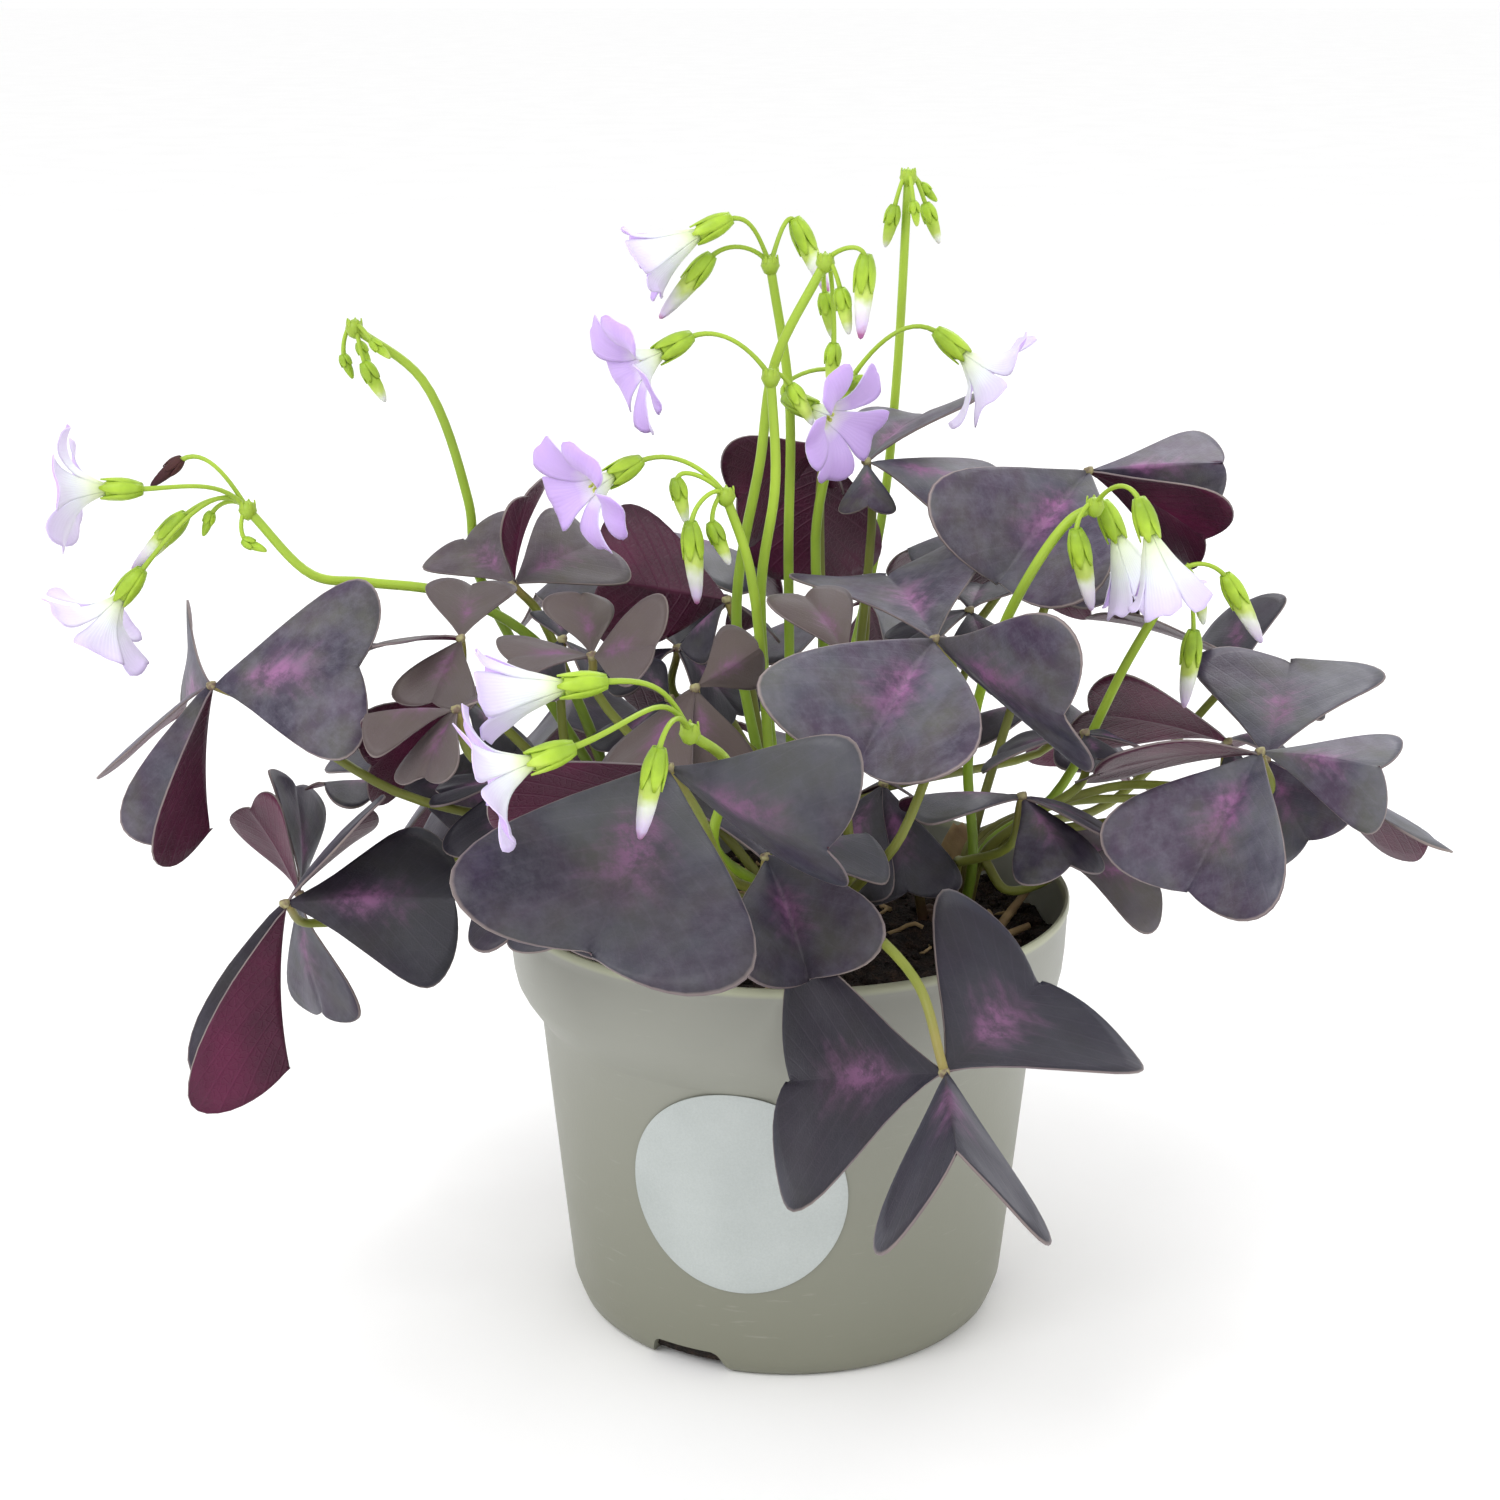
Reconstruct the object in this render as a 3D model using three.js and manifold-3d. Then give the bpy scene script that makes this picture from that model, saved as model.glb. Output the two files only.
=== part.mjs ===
// Purple shamrock (Oxalis triangularis) in a round nursery pot.
// Millimetres, +Z up, the front of the plant towards -Y, the origin at the centre of the pot's flat foot.
// Each leaf, open flower and rooted crown is one solid, as it grew; the pot, label and soil are one each.
import * as THREE from "three";
import { mergeVertices } from "three/addons/utils/BufferGeometryUtils.js";
import Module from "manifold-3d";

const wasm = await Module();
wasm.setup();

// ---- driving dimensions ------------------------------------------------------------------------

const POT_HEIGHT = 92.5;
const RIM_RADIUS = 60;
const FOOT_RADIUS = 43;
const FLOOR = 1.5;
const WALL = 1.2;
const COLLAR_BOTTOM = 67.5;
const POT_SIDES = 30;

const DRAIN_COUNT = 3;
const DRAIN_WIDTH = 17;
const DRAIN_HEIGHT = 5.2;
const DRAIN_INNER_RADIUS = 34;
const DRAIN_TURN = -118;

const LABEL_RADIUS = 23;
const LABEL_THICKNESS = 0.4;
const LABEL_LIFT = 0.45;
const LABEL_HEIGHT = 44;
const LABEL_TURN = -102.5;

const GAP = 0.3;
const SOIL_LEVEL = 81;
const SOIL_SIDES = 15;
const CROWN_RADIUS = 7;
const CROWN_DEPTH = 13;
const CROWN_SIDES = 10;

const BLADE = 0.7;
const KNOB_RADIUS = 1.5;
const LEAFLET_ARCH = 0.35;
const PETIOLE_RADIUS = 1.1;
const SCAPE_RADIUS = 1.15;
const PEDICEL_RADIUS = 0.6;
const PEDICEL_DEPTH = 1.6;
const HEAD_RADIUS = 2.4;

const CALYX_LENGTH = 8;
const CALYX_RADIUS = 2.2;
const PETALS = 5;
const PETAL_THICKNESS = 0.6;

// ---- small helpers -----------------------------------------------------------------------------

const UP = new THREE.Vector3(0, 0, 1);
const point = (xyz) => new THREE.Vector3(...xyz);
const radians = THREE.MathUtils.degToRad;

/** A closed mesh as a solid: only positions are kept and shared corners are merged. */
function solid(geometry) {
  const bare = geometry.clone();
  bare.deleteAttribute("normal");
  bare.deleteAttribute("uv");
  const merged = mergeVertices(bare, 1e-4);
  const mesh = { numProp: 3, vertProperties: merged.attributes.position.array };
  mesh.triVerts = new Uint32Array(merged.index.array);
  return new wasm.Manifold(new wasm.Mesh(mesh));
}

/** Joins solids into one. */
function fuse(solids) {
  return solids.reduce((whole, piece) => whole.add(piece));
}

/** A geometry from corner points and triangles. */
function faceted(corners, triangles) {
  const geometry = new THREE.BufferGeometry();
  const numbers = corners.flatMap((p) => [p.x, p.y, p.z]);
  geometry.setAttribute("position", new THREE.Float32BufferAttribute(numbers, 3));
  geometry.setIndex(triangles.flat());
  return geometry;
}

/** A named mesh from a solid, added to its group. */
function node(group, name, body, material) {
  const mesh = body.getMesh();
  const geometry = new THREE.BufferGeometry();
  geometry.setAttribute("position", new THREE.BufferAttribute(mesh.vertProperties, 3));
  geometry.setIndex(new THREE.BufferAttribute(mesh.triVerts, 1));
  geometry.computeVertexNormals();
  const piece = new THREE.Mesh(geometry, material);
  piece.name = name;
  group.add(piece);
}

/** A closed shape turned about +Z, from a profile of [radius, height] pairs. */
function turned(profile, sides) {
  const outline = profile.map(([r, z]) => new THREE.Vector2(r, z));
  const geometry = new THREE.LatheGeometry(outline, sides);
  return geometry.rotateX(Math.PI / 2);
}

/** Stands a shape made along +Z at a base point, along an axis. */
function stand(geometry, base, axis, spin = 0) {
  const turn = new THREE.Quaternion().setFromUnitVectors(UP, axis.clone().normalize());
  return geometry.rotateZ(spin).applyQuaternion(turn).translate(base.x, base.y, base.z);
}

/** A round stalk of few sides along a curve. */
function stalk(curve, radius, sides, steps) {
  const ring = new THREE.Shape();
  for (let i = 0; i < sides; i += 1) {
    const turn = (i / sides) * 2 * Math.PI;
    const [x, y] = [radius * Math.cos(turn), radius * Math.sin(turn)];
    if (i === 0) ring.moveTo(x, y);
    else ring.lineTo(x, y);
  }
  ring.closePath();
  const options = { steps, bevelEnabled: false, extrudePath: curve, curveSegments: 1 };
  return solid(new THREE.ExtrudeGeometry(ring, options));
}

// ---- pot, label and soil -----------------------------------------------------------------------

/** The pot's outside, from foot to rim: radius and height. */
const POT_OUTSIDE = [
  [FOOT_RADIUS, 0], [45.3, 1.4], [47.2, 6.5], [53.5, COLLAR_BOTTOM], [58.2, COLLAR_BOTTOM + 7],
  [59.3, COLLAR_BOTTOM + 11], [RIM_RADIUS, POT_HEIGHT],
];

function insideOfPot(clearance) {
  const wall = POT_OUTSIDE.slice(1, -1).map(([r, z]) => [r - WALL - clearance, z + WALL]);
  return [[FOOT_RADIUS - WALL - clearance, FLOOR + clearance], ...wall];
}

/** The drainage recesses' shapes: blocks that narrow upward, from a radius outward. */
function drainBlocks(inner, grow, height) {
  const blocks = [];
  for (let i = 0; i < DRAIN_COUNT; i += 1) {
    const depth = RIM_RADIUS - inner;
    const block = new THREE.BoxGeometry(depth, DRAIN_WIDTH + 2 * grow, height);
    block.translate(inner + depth / 2, 0, height / 2);
    block.rotateZ(radians(DRAIN_TURN + (i * 360) / DRAIN_COUNT));
    blocks.push(solid(block));
  }
  return fuse(blocks);
}

function pot() {
  const mouth = [[RIM_RADIUS - WALL, POT_HEIGHT]];
  const inside = insideOfPot(0).reverse();
  const shell = solid(turned([[0, 0], ...POT_OUTSIDE, ...mouth, ...inside, [0, FLOOR]], POT_SIDES));
  const whole = solid(turned([[0, 0], ...POT_OUTSIDE, [0, POT_HEIGHT]], POT_SIDES));
  const hoods = drainBlocks(DRAIN_INNER_RADIUS - WALL, WALL, DRAIN_HEIGHT + WALL);
  const recesses = drainBlocks(DRAIN_INNER_RADIUS, 0, DRAIN_HEIGHT);
  return shell.add(hoods.intersect(whole)).subtract(recesses);
}

/** The sticker: a round sheet bent round the pot's tapering wall. */
function label() {
  const rings = [0, 1 / 3, 2 / 3, 1];
  const sides = 16;
  const [, , low, high] = POT_OUTSIDE;
  const slope = (high[0] - low[0]) / (high[1] - low[1]);
  const corners = [];
  for (const lift of [LABEL_LIFT, LABEL_LIFT + LABEL_THICKNESS]) {
    for (const ring of rings) {
      for (let i = 0; i < (ring === 0 ? 1 : sides); i += 1) {
        const turn = (i / sides) * 2 * Math.PI;
        const height = LABEL_HEIGHT + ring * LABEL_RADIUS * Math.sin(turn);
        const radius = low[0] + slope * (height - low[1]) + lift;
        const bearing = radians(LABEL_TURN) + (ring * LABEL_RADIUS * Math.cos(turn)) / radius;
        corners.push(new THREE.Vector3(radius * Math.cos(bearing), radius * Math.sin(bearing), height));
      }
    }
  }
  const layer = 1 + (rings.length - 1) * sides;
  const triangles = [];
  for (let i = 0; i < sides; i += 1) {
    const j = (i + 1) % sides;
    triangles.push([layer, layer + 1 + i, layer + 1 + j], [0, 1 + j, 1 + i]);
    for (let ring = 1; ring < rings.length - 1; ring += 1) {
      const [a, b] = [1 + (ring - 1) * sides + i, 1 + (ring - 1) * sides + j];
      const [c, d] = [a + sides, b + sides];
      triangles.push([layer + a, layer + c, layer + d], [layer + a, layer + d, layer + b]);
      triangles.push([a, d, c], [a, b, d]);
    }
    const [c, d] = [layer - sides + i, layer - sides + j];
    triangles.push([c, d, layer + d], [c, layer + d, layer + c]);
  }
  return solid(faceted(corners, triangles));
}

/** Height of the soil's crumbly top above its level. */
function crumble(x, y) {
  const mound = 3 * (1 - Math.hypot(x, y) / RIM_RADIUS);
  return mound + 1.1 * Math.sin(x * 0.21 + 1.3) * Math.cos(y * 0.24) + 0.7 * Math.sin(x * 0.5 - y * 0.43);
}

function soil(crowns) {
  const edge = insideOfPot(GAP).filter(([, z]) => z < SOIL_LEVEL);
  const top = [edge.at(-1)[0], 44, 30, 16].map((r) => [r, SOIL_LEVEL]);
  const body = turned([[0, FLOOR + GAP], ...edge, ...top, [0, SOIL_LEVEL]], SOIL_SIDES);
  const place = body.attributes.position;
  for (let i = 0; i < place.count; i += 1) {
    if (place.getZ(i) > SOIL_LEVEL - 0.01) {
      place.setZ(i, SOIL_LEVEL + crumble(place.getX(i), place.getY(i)));
    }
  }
  const hoods = drainBlocks(DRAIN_INNER_RADIUS - WALL - GAP, WALL + GAP, DRAIN_HEIGHT + WALL + GAP);
  const holes = crowns.map(([x, y]) => {
    const [depth, reach] = [2 * CROWN_DEPTH, CROWN_RADIUS + 2 * GAP];
    const hole = new THREE.CylinderGeometry(reach, reach, depth, CROWN_SIDES);
    return solid(hole.rotateX(Math.PI / 2).translate(x, y, SOIL_LEVEL - CROWN_DEPTH / 2 + depth / 2 - GAP));
  });
  return solid(body).subtract(hoods).subtract(fuse(holes));
}

// ---- leaves ------------------------------------------------------------------------------------

/** Half of a leaflet's outline, in leaflet lengths from the knob: along the rib, and out from it. */
const HALF_OUTLINE = [[0.34, 0.24], [0.76, 0.57], [0.98, 0.6], [1.1, 0.33]];
const RIB = [0.02, 0.5, 1];

/** Directions of a leaflet: along its rib, across to its left, and up from its upper face. */
function leafletAxes([bearing, rise, roll]) {
  const [b, e, r] = [bearing, rise, roll].map(radians);
  const along = new THREE.Vector3(Math.cos(e) * Math.cos(b), Math.cos(e) * Math.sin(b), Math.sin(e));
  const level = new THREE.Vector3(-Math.sin(b), Math.cos(b), 0);
  const over = new THREE.Vector3().crossVectors(along, level);
  const across = level.clone().multiplyScalar(Math.cos(r)).addScaledVector(over, Math.sin(r));
  const up = over.clone().multiplyScalar(Math.cos(r)).addScaledVector(level, -Math.sin(r));
  return { along, across, up };
}

/** A place on a leaflet's upper (lift 1) or lower (lift -1) face. */
function bladePoint(hub, axes, fold, size, a, b, lift) {
  const arch = LEAFLET_ARCH * a;
  const tilt = radians(fold);
  const normal = axes.up.clone().multiplyScalar(Math.cos(arch)).addScaledVector(axes.along, Math.sin(arch));
  const place = hub.clone()
    .addScaledVector(axes.along, (size * Math.sin(arch)) / LEAFLET_ARCH)
    .addScaledVector(axes.up, (-size * (1 - Math.cos(arch))) / LEAFLET_ARCH)
    .addScaledVector(axes.across, size * b * Math.cos(tilt))
    .addScaledVector(normal, -size * Math.abs(b) * Math.sin(tilt));
  const half = (lift * BLADE) / 2;
  if (b === 0) return place.addScaledVector(normal, half / Math.cos(tilt));
  return place.addScaledVector(normal, half * Math.cos(tilt))
    .addScaledVector(axes.across, half * Math.sign(b) * Math.sin(tilt));
}

function leaflet(hub, [bearing, rise, roll, fold, size]) {
  const axes = leafletAxes([bearing, rise, roll]);
  const grid = [...RIB.map((a) => [a, 0]), ...HALF_OUTLINE, ...HALF_OUTLINE.map(([a, b]) => [a, -b])];
  const corners = [1, -1].flatMap((lift) => grid.map(([a, b]) =>
    bladePoint(hub, axes, fold, size, a, b, lift)));
  const left = [[0, 1, 3], [1, 4, 3], [1, 2, 4], [2, 5, 4], [2, 6, 5]];
  const right = left.map((t) => t.map((i) => (i > 2 ? i + 4 : i)).reverse());
  const under = grid.length;
  const upper = [...left, ...right];
  const lower = upper.map(([a, b, c]) => [under + a, under + c, under + b]);
  const edge = [0, 7, 8, 9, 10, 2, 6, 5, 4, 3];
  const rim = edge.flatMap((a, i) => {
    const b = edge[(i + 1) % edge.length];
    return [[a, under + a, under + b], [a, under + b, b]];
  });
  return solid(faceted(corners, [...upper, ...lower, ...rim]));
}

/** Three leaflets of a leaf nobody sees from the front: level, tilted towards a bearing. */
function spread(facing, tilt, turn, droop, fold, size) {
  return [0, 120, 240].map((step) => {
    const swing = radians(turn + step - facing);
    return [turn + step, -droop - tilt * Math.cos(swing), tilt * Math.sin(swing), fold, size];
  });
}

// Each leaf: its crown, its knob, and for each leaflet the bearing and rise of its rib, its roll,
// how far its halves fold down, and its length; via and near are places its stalk passes.
const LEAVES = {
  front_drooping: { crown: "front", knob: [27, -99, 92], via: [12, -62, 108], near: [23, -88, 104],
    leaflets: [[146, -15, -65, 0, 41], [55, 12, 35, -5, 43], [268, 15, 5, 52, 41]] },
  front_broad: { crown: "front", knob: [-23, -74, 142], via: [-12, -50, 112],
    leaflets: [[256, -18, -18, -15, 47], [320, -20, 105, 28, 35], [187, -14, 50, 0, 32]] },
  front_inner: { crown: "front", knob: [-5, -46, 115],
    leaflets: [[286, -21, 9, -39, 31], [117, 28, 27, 10, 24], [25, 15, 0, 30, 22]] },
  middle_high: { crown: "front", knob: [29, -22, 153], via: [22, -36, 116],
    leaflets: [[247, -13, -15, -30, 42], [105, 18, -8, -10, 36], [302, -18, 113, 16, 36]] },
  left_high: { crown: "left", knob: [-119, -10, 140], via: [-82, -10, 117],
    leaflets: [[335, 18, 52, 5, 34], [212, -75, 0, -55, 31], [120, -17, -54, -24, 40]] },
  left_low: { crown: "left", knob: [-102, -34, 101], via: [-60, -12, 97], near: [-99, -24, 93],
    leaflets: [[10, 0, 62, 35, 35], [195, -78, 0, -65, 36], [50, 45, -45, 10, 26]] },
  left_under: { crown: "left", knob: [-105, 2, 90], via: [-60, 24, 98], near: [-96, 3, 84],
    leaflets: [[136, 60, 80, 0, 21], [80, 60, 85, 0, 24], [275, -75, 60, 5, 26]] },
  left_shaded: { crown: "left", knob: [-85, 12, 112], via: [-48, 22, 104], near: [-77, 20, 106],
    leaflets: [[215, 20, 0, 20, 17], [100, 20, 0, 30, 28], [0, -5, 60, 30, 30]] },
  left_top: { crown: "left", knob: [-58, 8, 157],
    leaflets: [[136, 30, -30, 0, 19], [35, 24, 30, 0, 22], [270, 85, 75, 0, 20]] },
  right_broad: { crown: "right", knob: [97, -14, 127],
    leaflets: [[235, -30, -17, -29, 36], [318, 8, 55, 45, 26], [180, 3, 26, 0, 34]] },
  right_under: { crown: "right", knob: [101, 0, 121], via: [70, 18, 109], near: [94, 4, 114],
    leaflets: [[355, -14, -21, 14, 38], [290, -40, 55, 0, 20], [72, 32, 0, 0, 35]] },
  right_top: { crown: "right", knob: [65, 30, 177],
    leaflets: [[239, -17, -27, -35, 41], [350, 7, 71, 57, 29], [355, -20, -38, 0, 29]] },
  right_inner: { crown: "right", knob: [48, -16, 118], via: [37, -8, 101],
    leaflets: [[185, 12, 10, 20, 23], [300, -20, 0, 20, 20], [350, -12, -12, 0, 20]] },
  right_low: { crown: "right", knob: [60, 0, 98], via: [46, -3, 93], near: [55, 4, 92],
    leaflets: [[352, -8, 42, 0, 20], [40, 10, 10, 0, 18], [215, 20, 30, 0, 10]] },
  right_back: { crown: "right", knob: [103, 46, 129], via: [74, 44, 97], near: [98, 51, 120],
    leaflets: [[95, 35, -40, 20, 21], [180, 32, 17, 0, 32], [20, -10, 0, 30, 20]] },
  middle_low: { crown: "right", knob: [20, -4, 117], near: [21, 0, 108],
    leaflets: [[290, -45, 0, 15, 24], [225, -35, 0, 15, 24], [85, -5, 0, 30, 14]] },
  young_middle: { crown: "front", knob: [-40, -20, 149],
    leaflets: [[196, 12, -10, 0, 17], [102, 59, 14, 20, 14], [311, 23, 51, -11, 18]] },
  young_left: { crown: "front", knob: [-66, -35, 142],
    leaflets: [[236, -34, 16, 0, 16], [30, 20, -10, 0, 11], [190, 10, 0, 40, 18]] },
  young_top_left: { crown: "left", knob: [-67, -14, 151],
    leaflets: [[245, -30, 0, 0, 16], [85, 40, 0, 0, 16], [190, 8, 15, 0, 17]] },
  young_centre: { crown: "front", knob: [-19, -30, 145], via: [-4, -12, 122],
    leaflets: [[20, 26, 72, 41, 16], [285, -45, 0, 10, 18], [220, -35, 0, 10, 24]] },
  young_right: { crown: "front", knob: [11, -28, 151],
    leaflets: [[125, 45, 0, 0, 17], [60, 10, 0, 30, 14], [300, -20, 0, 30, 14]] },
  back_top: { crown: "back", knob: [17, 30, 179],
    leaflets: [[59, 25, -13, -9, 26], [350, -2, 14, 10, 28], [270, -30, 0, 30, 12]] },
  back_left_top: { crown: "back", knob: [-13, 15, 152], near: [-10, 16, 143],
    leaflets: [[142, 0, 98, -33, 32], [50, -20, 0, 30, 14], [200, -30, 0, 30, 14]] },
  back_centre: { crown: "back", knob: [8, 38, 181], near: [7, 31, 171],
    leaflets: [[94, -65, 0, -38, 32], [200, -20, 70, 0, 24], [20, -60, 0, 10, 10]] },
  right_behind: { crown: "right", knob: [98, 30, 116], via: [60, 22, 104],
    leaflets: [[175, 20, 45, 0, 32], [60, 0, 0, 30, 24], [290, -40, 0, 30, 20]] },
  left_inner: { crown: "left", knob: [-69, 7, 132],
    leaflets: [[205, -20, 60, 0, 25], [100, 0, 0, 20, 22], [330, -20, 0, 20, 16]] },
  front_low: { crown: "front", knob: [-40, -46, 112],
    leaflets: [[255, -15, 0, 15, 20], [180, -10, 0, 20, 24], [60, -10, 0, 20, 20]] },
  shade_left: { crown: "left", knob: [-25, 1, 134],
    leaflets: [[205, -25, 0, 0, 17], [262, -60, 0, 0, 20], [135, 35, 0, 0, 12]] },
  shade_right: { crown: "right", knob: [62, -4, 128], via: [50, -2, 108],
    leaflets: [[160, -10, 0, 0, 20], [285, -15, 0, 0, 8], [25, -10, 0, 0, 15]] },
  shade_front: { crown: "left", knob: [-57, -12, 120], via: [-45, -8, 100],
    leaflets: [[250, -30, 0, 0, 18], [345, -20, 0, 0, 14], [180, 0, 0, 0, 16]] },
  shade_back: { crown: "back", knob: [40, 30, 146], via: [30, 30, 112],
    leaflets: [[200, -10, 0, 0, 17], [285, -20, 0, 0, 13], [75, 20, 0, 0, 15]] },
  shade_under: { crown: "back", knob: [-24, 28, 138], via: [-12, 28, 112],
    leaflets: [[205, -10, 0, 0, 18], [330, -30, 0, 0, 20], [100, 20, 0, 0, 26]] },
  shade_top: { crown: "left", knob: [-47, -3, 148], via: [-46, -2, 120],
    leaflets: [[235, -30, 0, 0, 14], [340, -30, 0, 0, 10], [100, 30, 0, 0, 10]] },
  back_a: { crown: "back", knob: [66, 72, 114], leaflets: spread(50, 20, 60, 15, 25, 27) },
  back_b: { crown: "back", knob: [20, 88, 134], leaflets: spread(80, 25, 75, 15, 25, 34) },
  back_c: { crown: "back", knob: [-12, 92, 102], leaflets: spread(95, 35, 95, 15, 25, 29) },
  back_d: { crown: "back", knob: [-46, 80, 118], leaflets: spread(120, 25, 140, 15, 25, 33) },
  back_e: { crown: "back", knob: [56, 70, 158], leaflets: spread(55, 20, 80, 15, 25, 31) },
  back_f: { crown: "back", knob: [-34, 70, 156], leaflets: spread(115, 20, 100, 15, 25, 33) },
  back_g: { crown: "left", knob: [-76, 60, 102], leaflets: spread(140, 30, 160, 15, 25, 32) },
};

/** Mean direction of a leaf's upper faces. */
function facing(leaflets) {
  const sum = new THREE.Vector3();
  leaflets.forEach((item) => sum.add(leafletAxes(item).up));
  return sum.normalize();
}

function leaf({ knob, leaflets }) {
  const hub = point(knob);
  const ball = new THREE.OctahedronGeometry(KNOB_RADIUS, 0).translate(hub.x, hub.y, hub.z);
  return fuse([solid(ball), ...leaflets.map((item) => leaflet(hub, item))]);
}

// ---- flower stalks -----------------------------------------------------------------------------

// Each flower stalk: its crown, the places it passes up to its head, and what hangs there,
// each with the place of its base and of its mouth or tip.
const FLOWER_STALKS = {
  left: { crown: "left", path: [[-50, 10, 140], [-70, 10, 154], [-89, 10, 157], [-100, 8, 159],
    [-113, 8, 173]],
  items: [["open", [-133, 0, 179], [-142, 0, 179]], ["open", [-135, 4, 161], [-144, 4, 150]],
    ["bud", [-126, 8, 172], [-138, 8, 160]], ["tiny", [-121, 10, 172], [-123, 10, 167]],
    ["tiny", [-114, 6, 167], [-108, 6, 164]], ["dry", [-127, 12, 183], [-134, 12, 177]]] },
  arch: { crown: "left", path: [[-67, 28, 154], [-69, 28, 171], [-78, 28, 197], [-92, 28, 208]],
    items: [["small", [-90, 26, 201], [-85, 26, 191]], ["tiny", [-95, 30, 202], [-92, 30, 194]],
      ["tiny", [-92, 34, 204], [-89, 34, 197]], ["tiny", [-88, 24, 206], [-84, 24, 202]]] },
  tall: { crown: "front", path: [[-11, 2, 150], [-6, 2, 185], [-3, 2, 205], [7, 2, 225]],
    items: [["bud", [15, -2, 227], [14, -2, 208]], ["small", [10, 0, 220], [12, 0, 210]],
      ["small", [7, 8, 218], [9, 8, 208]], ["small", [9, 6, 208], [8, 6, 196]]] },
  pair: { crown: "back", path: [[0, 14, 161], [0, 14, 196], [-4, 14, 223]],
    items: [["bell", [-12, 10, 233], [-20, 10, 229]], ["bud", [-16, 14, 225], [-26, 14, 213]],
      ["bud", [1, 18, 232], [6, 18, 221]]] },
  mid: { crown: "front", path: [[-6, -6, 157], [-3, -6, 182], [-4, -6, 203]],
    items: [["open", [-20, -4, 211], [-32, -10, 205]], ["small", [0, -3, 201], [4, -3, 194]]] },
  back: { crown: "back", path: [[6, 26, 163], [11, 26, 189], [13, 26, 197]],
    items: [["open", [31, 24, 208], [39, 24, 201]], ["open", [-1, 11, 196], [9, 4, 193]],
      ["tiny", [14, 22, 198], [19, 22, 197]]] },
  fan: { crown: "front", path: [[-8, -12, 164], [-13, -12, 180]],
    items: [["open", [-30, -16, 188], [-41, -24, 183]], ["small", [-23, -14, 184], [-21, -14, 175]],
      ["bud", [-20, -18, 176], [-19, -18, 162]], ["small", [-16, -14, 175], [-13, -14, 168]]] },
  spire: { crown: "back", path: [[22, 66, 158], [25, 66, 190], [27, 66, 236]],
    items: [["small", [24, 64, 230], [22, 64, 221]], ["small", [31, 68, 230], [34, 68, 222]],
      ["tiny", [28, 62, 231], [29, 62, 225]], ["tiny", [30, 70, 234], [34, 71, 230]]] },
  right: { crown: "right", path: [[38, 0, 122], [44, -20, 158], [55, -22, 177], [60, -22, 180]],
    items: [["bell", [67, -34, 184], [70, -34, 175]], ["bell", [62, -18, 180], [66, -18, 171]],
      ["bud", [56, -25, 176], [59, -25, 163]]] },
  far: { crown: "right", path: [[57, 8, 110], [72, 7, 141], [82, 6, 160]],
    items: [["bud", [91, 4, 160], [99, 4, 146]], ["small", [86, 10, 157], [88, 10, 148]],
      ["bud", [85, 4, 148], [84, 4, 135]]] },
  front: { crown: "front", path: [[-15, -44, 116], [-12, -62, 138], [-19, -82, 151]],
    items: [["bell", [-33, -98, 165], [-41, -98, 164]], ["open", [-38, -111, 157], [-47, -112, 154]],
      ["bud", [-24, -98, 153], [-27, -99, 139]]] },
};

const BUD_SIZES = { bud: [17, 2.1], small: [9.5, 1.6], tiny: [5.5, 1.1], dry: [9, 1.4] };

/** A closed bud: a spindle, thickest before its middle. */
function bud(kind, base, tip) {
  const [length, radius] = BUD_SIZES[kind];
  const profile = [[0, 0], [radius * 0.9, length * 0.2], [radius, length * 0.45], [0, length]];
  return solid(stand(turned(profile, 5), base, tip.clone().sub(base)));
}

/** The green cup that holds a flower. */
function calyx(base, mouth) {
  const profile = [[0, 0], [0.9, 0], [CALYX_RADIUS * 0.9, CALYX_LENGTH * 0.5], [CALYX_RADIUS, CALYX_LENGTH],
    [0, CALYX_LENGTH]];
  return solid(stand(turned(profile, 5), base, mouth.clone().sub(base)));
}

/** The bent stem from a head to a flower or bud: it rises, then hangs down into the base. */
function pedicel(head, base, mouth) {
  const span = head.distanceTo(base);
  const outward = base.clone().sub(head).setZ(0).multiplyScalar(0.25);
  const rise = head.clone().add(outward).addScaledVector(UP, span * 0.35);
  const into = base.clone().addScaledVector(mouth.clone().sub(base).normalize(), -span * 0.35);
  const inside = base.clone().addScaledVector(mouth.clone().sub(base).normalize(), PEDICEL_DEPTH);
  return stalk(new THREE.CubicBezierCurve3(head, rise, into, inside), PEDICEL_RADIUS, 3, 3);
}

/** Where an open flower's petals start, just past its calyx. */
function throat(base, mouth) {
  return base.clone().addScaledVector(mouth.clone().sub(base).normalize(), CALYX_LENGTH + GAP);
}

// A petal's sections, from throat to tip: along the flower's axis, out from it, and width.
const PETAL_SECTIONS = {
  open: [[1.5, 2.3, 1.6], [6.5, 5, 8], [7.5, 13, 7.4]],
  bell: [[1.5, 2.3, 1.6], [8, 4.2, 6.2], [13, 7, 5.4]],
};

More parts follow.
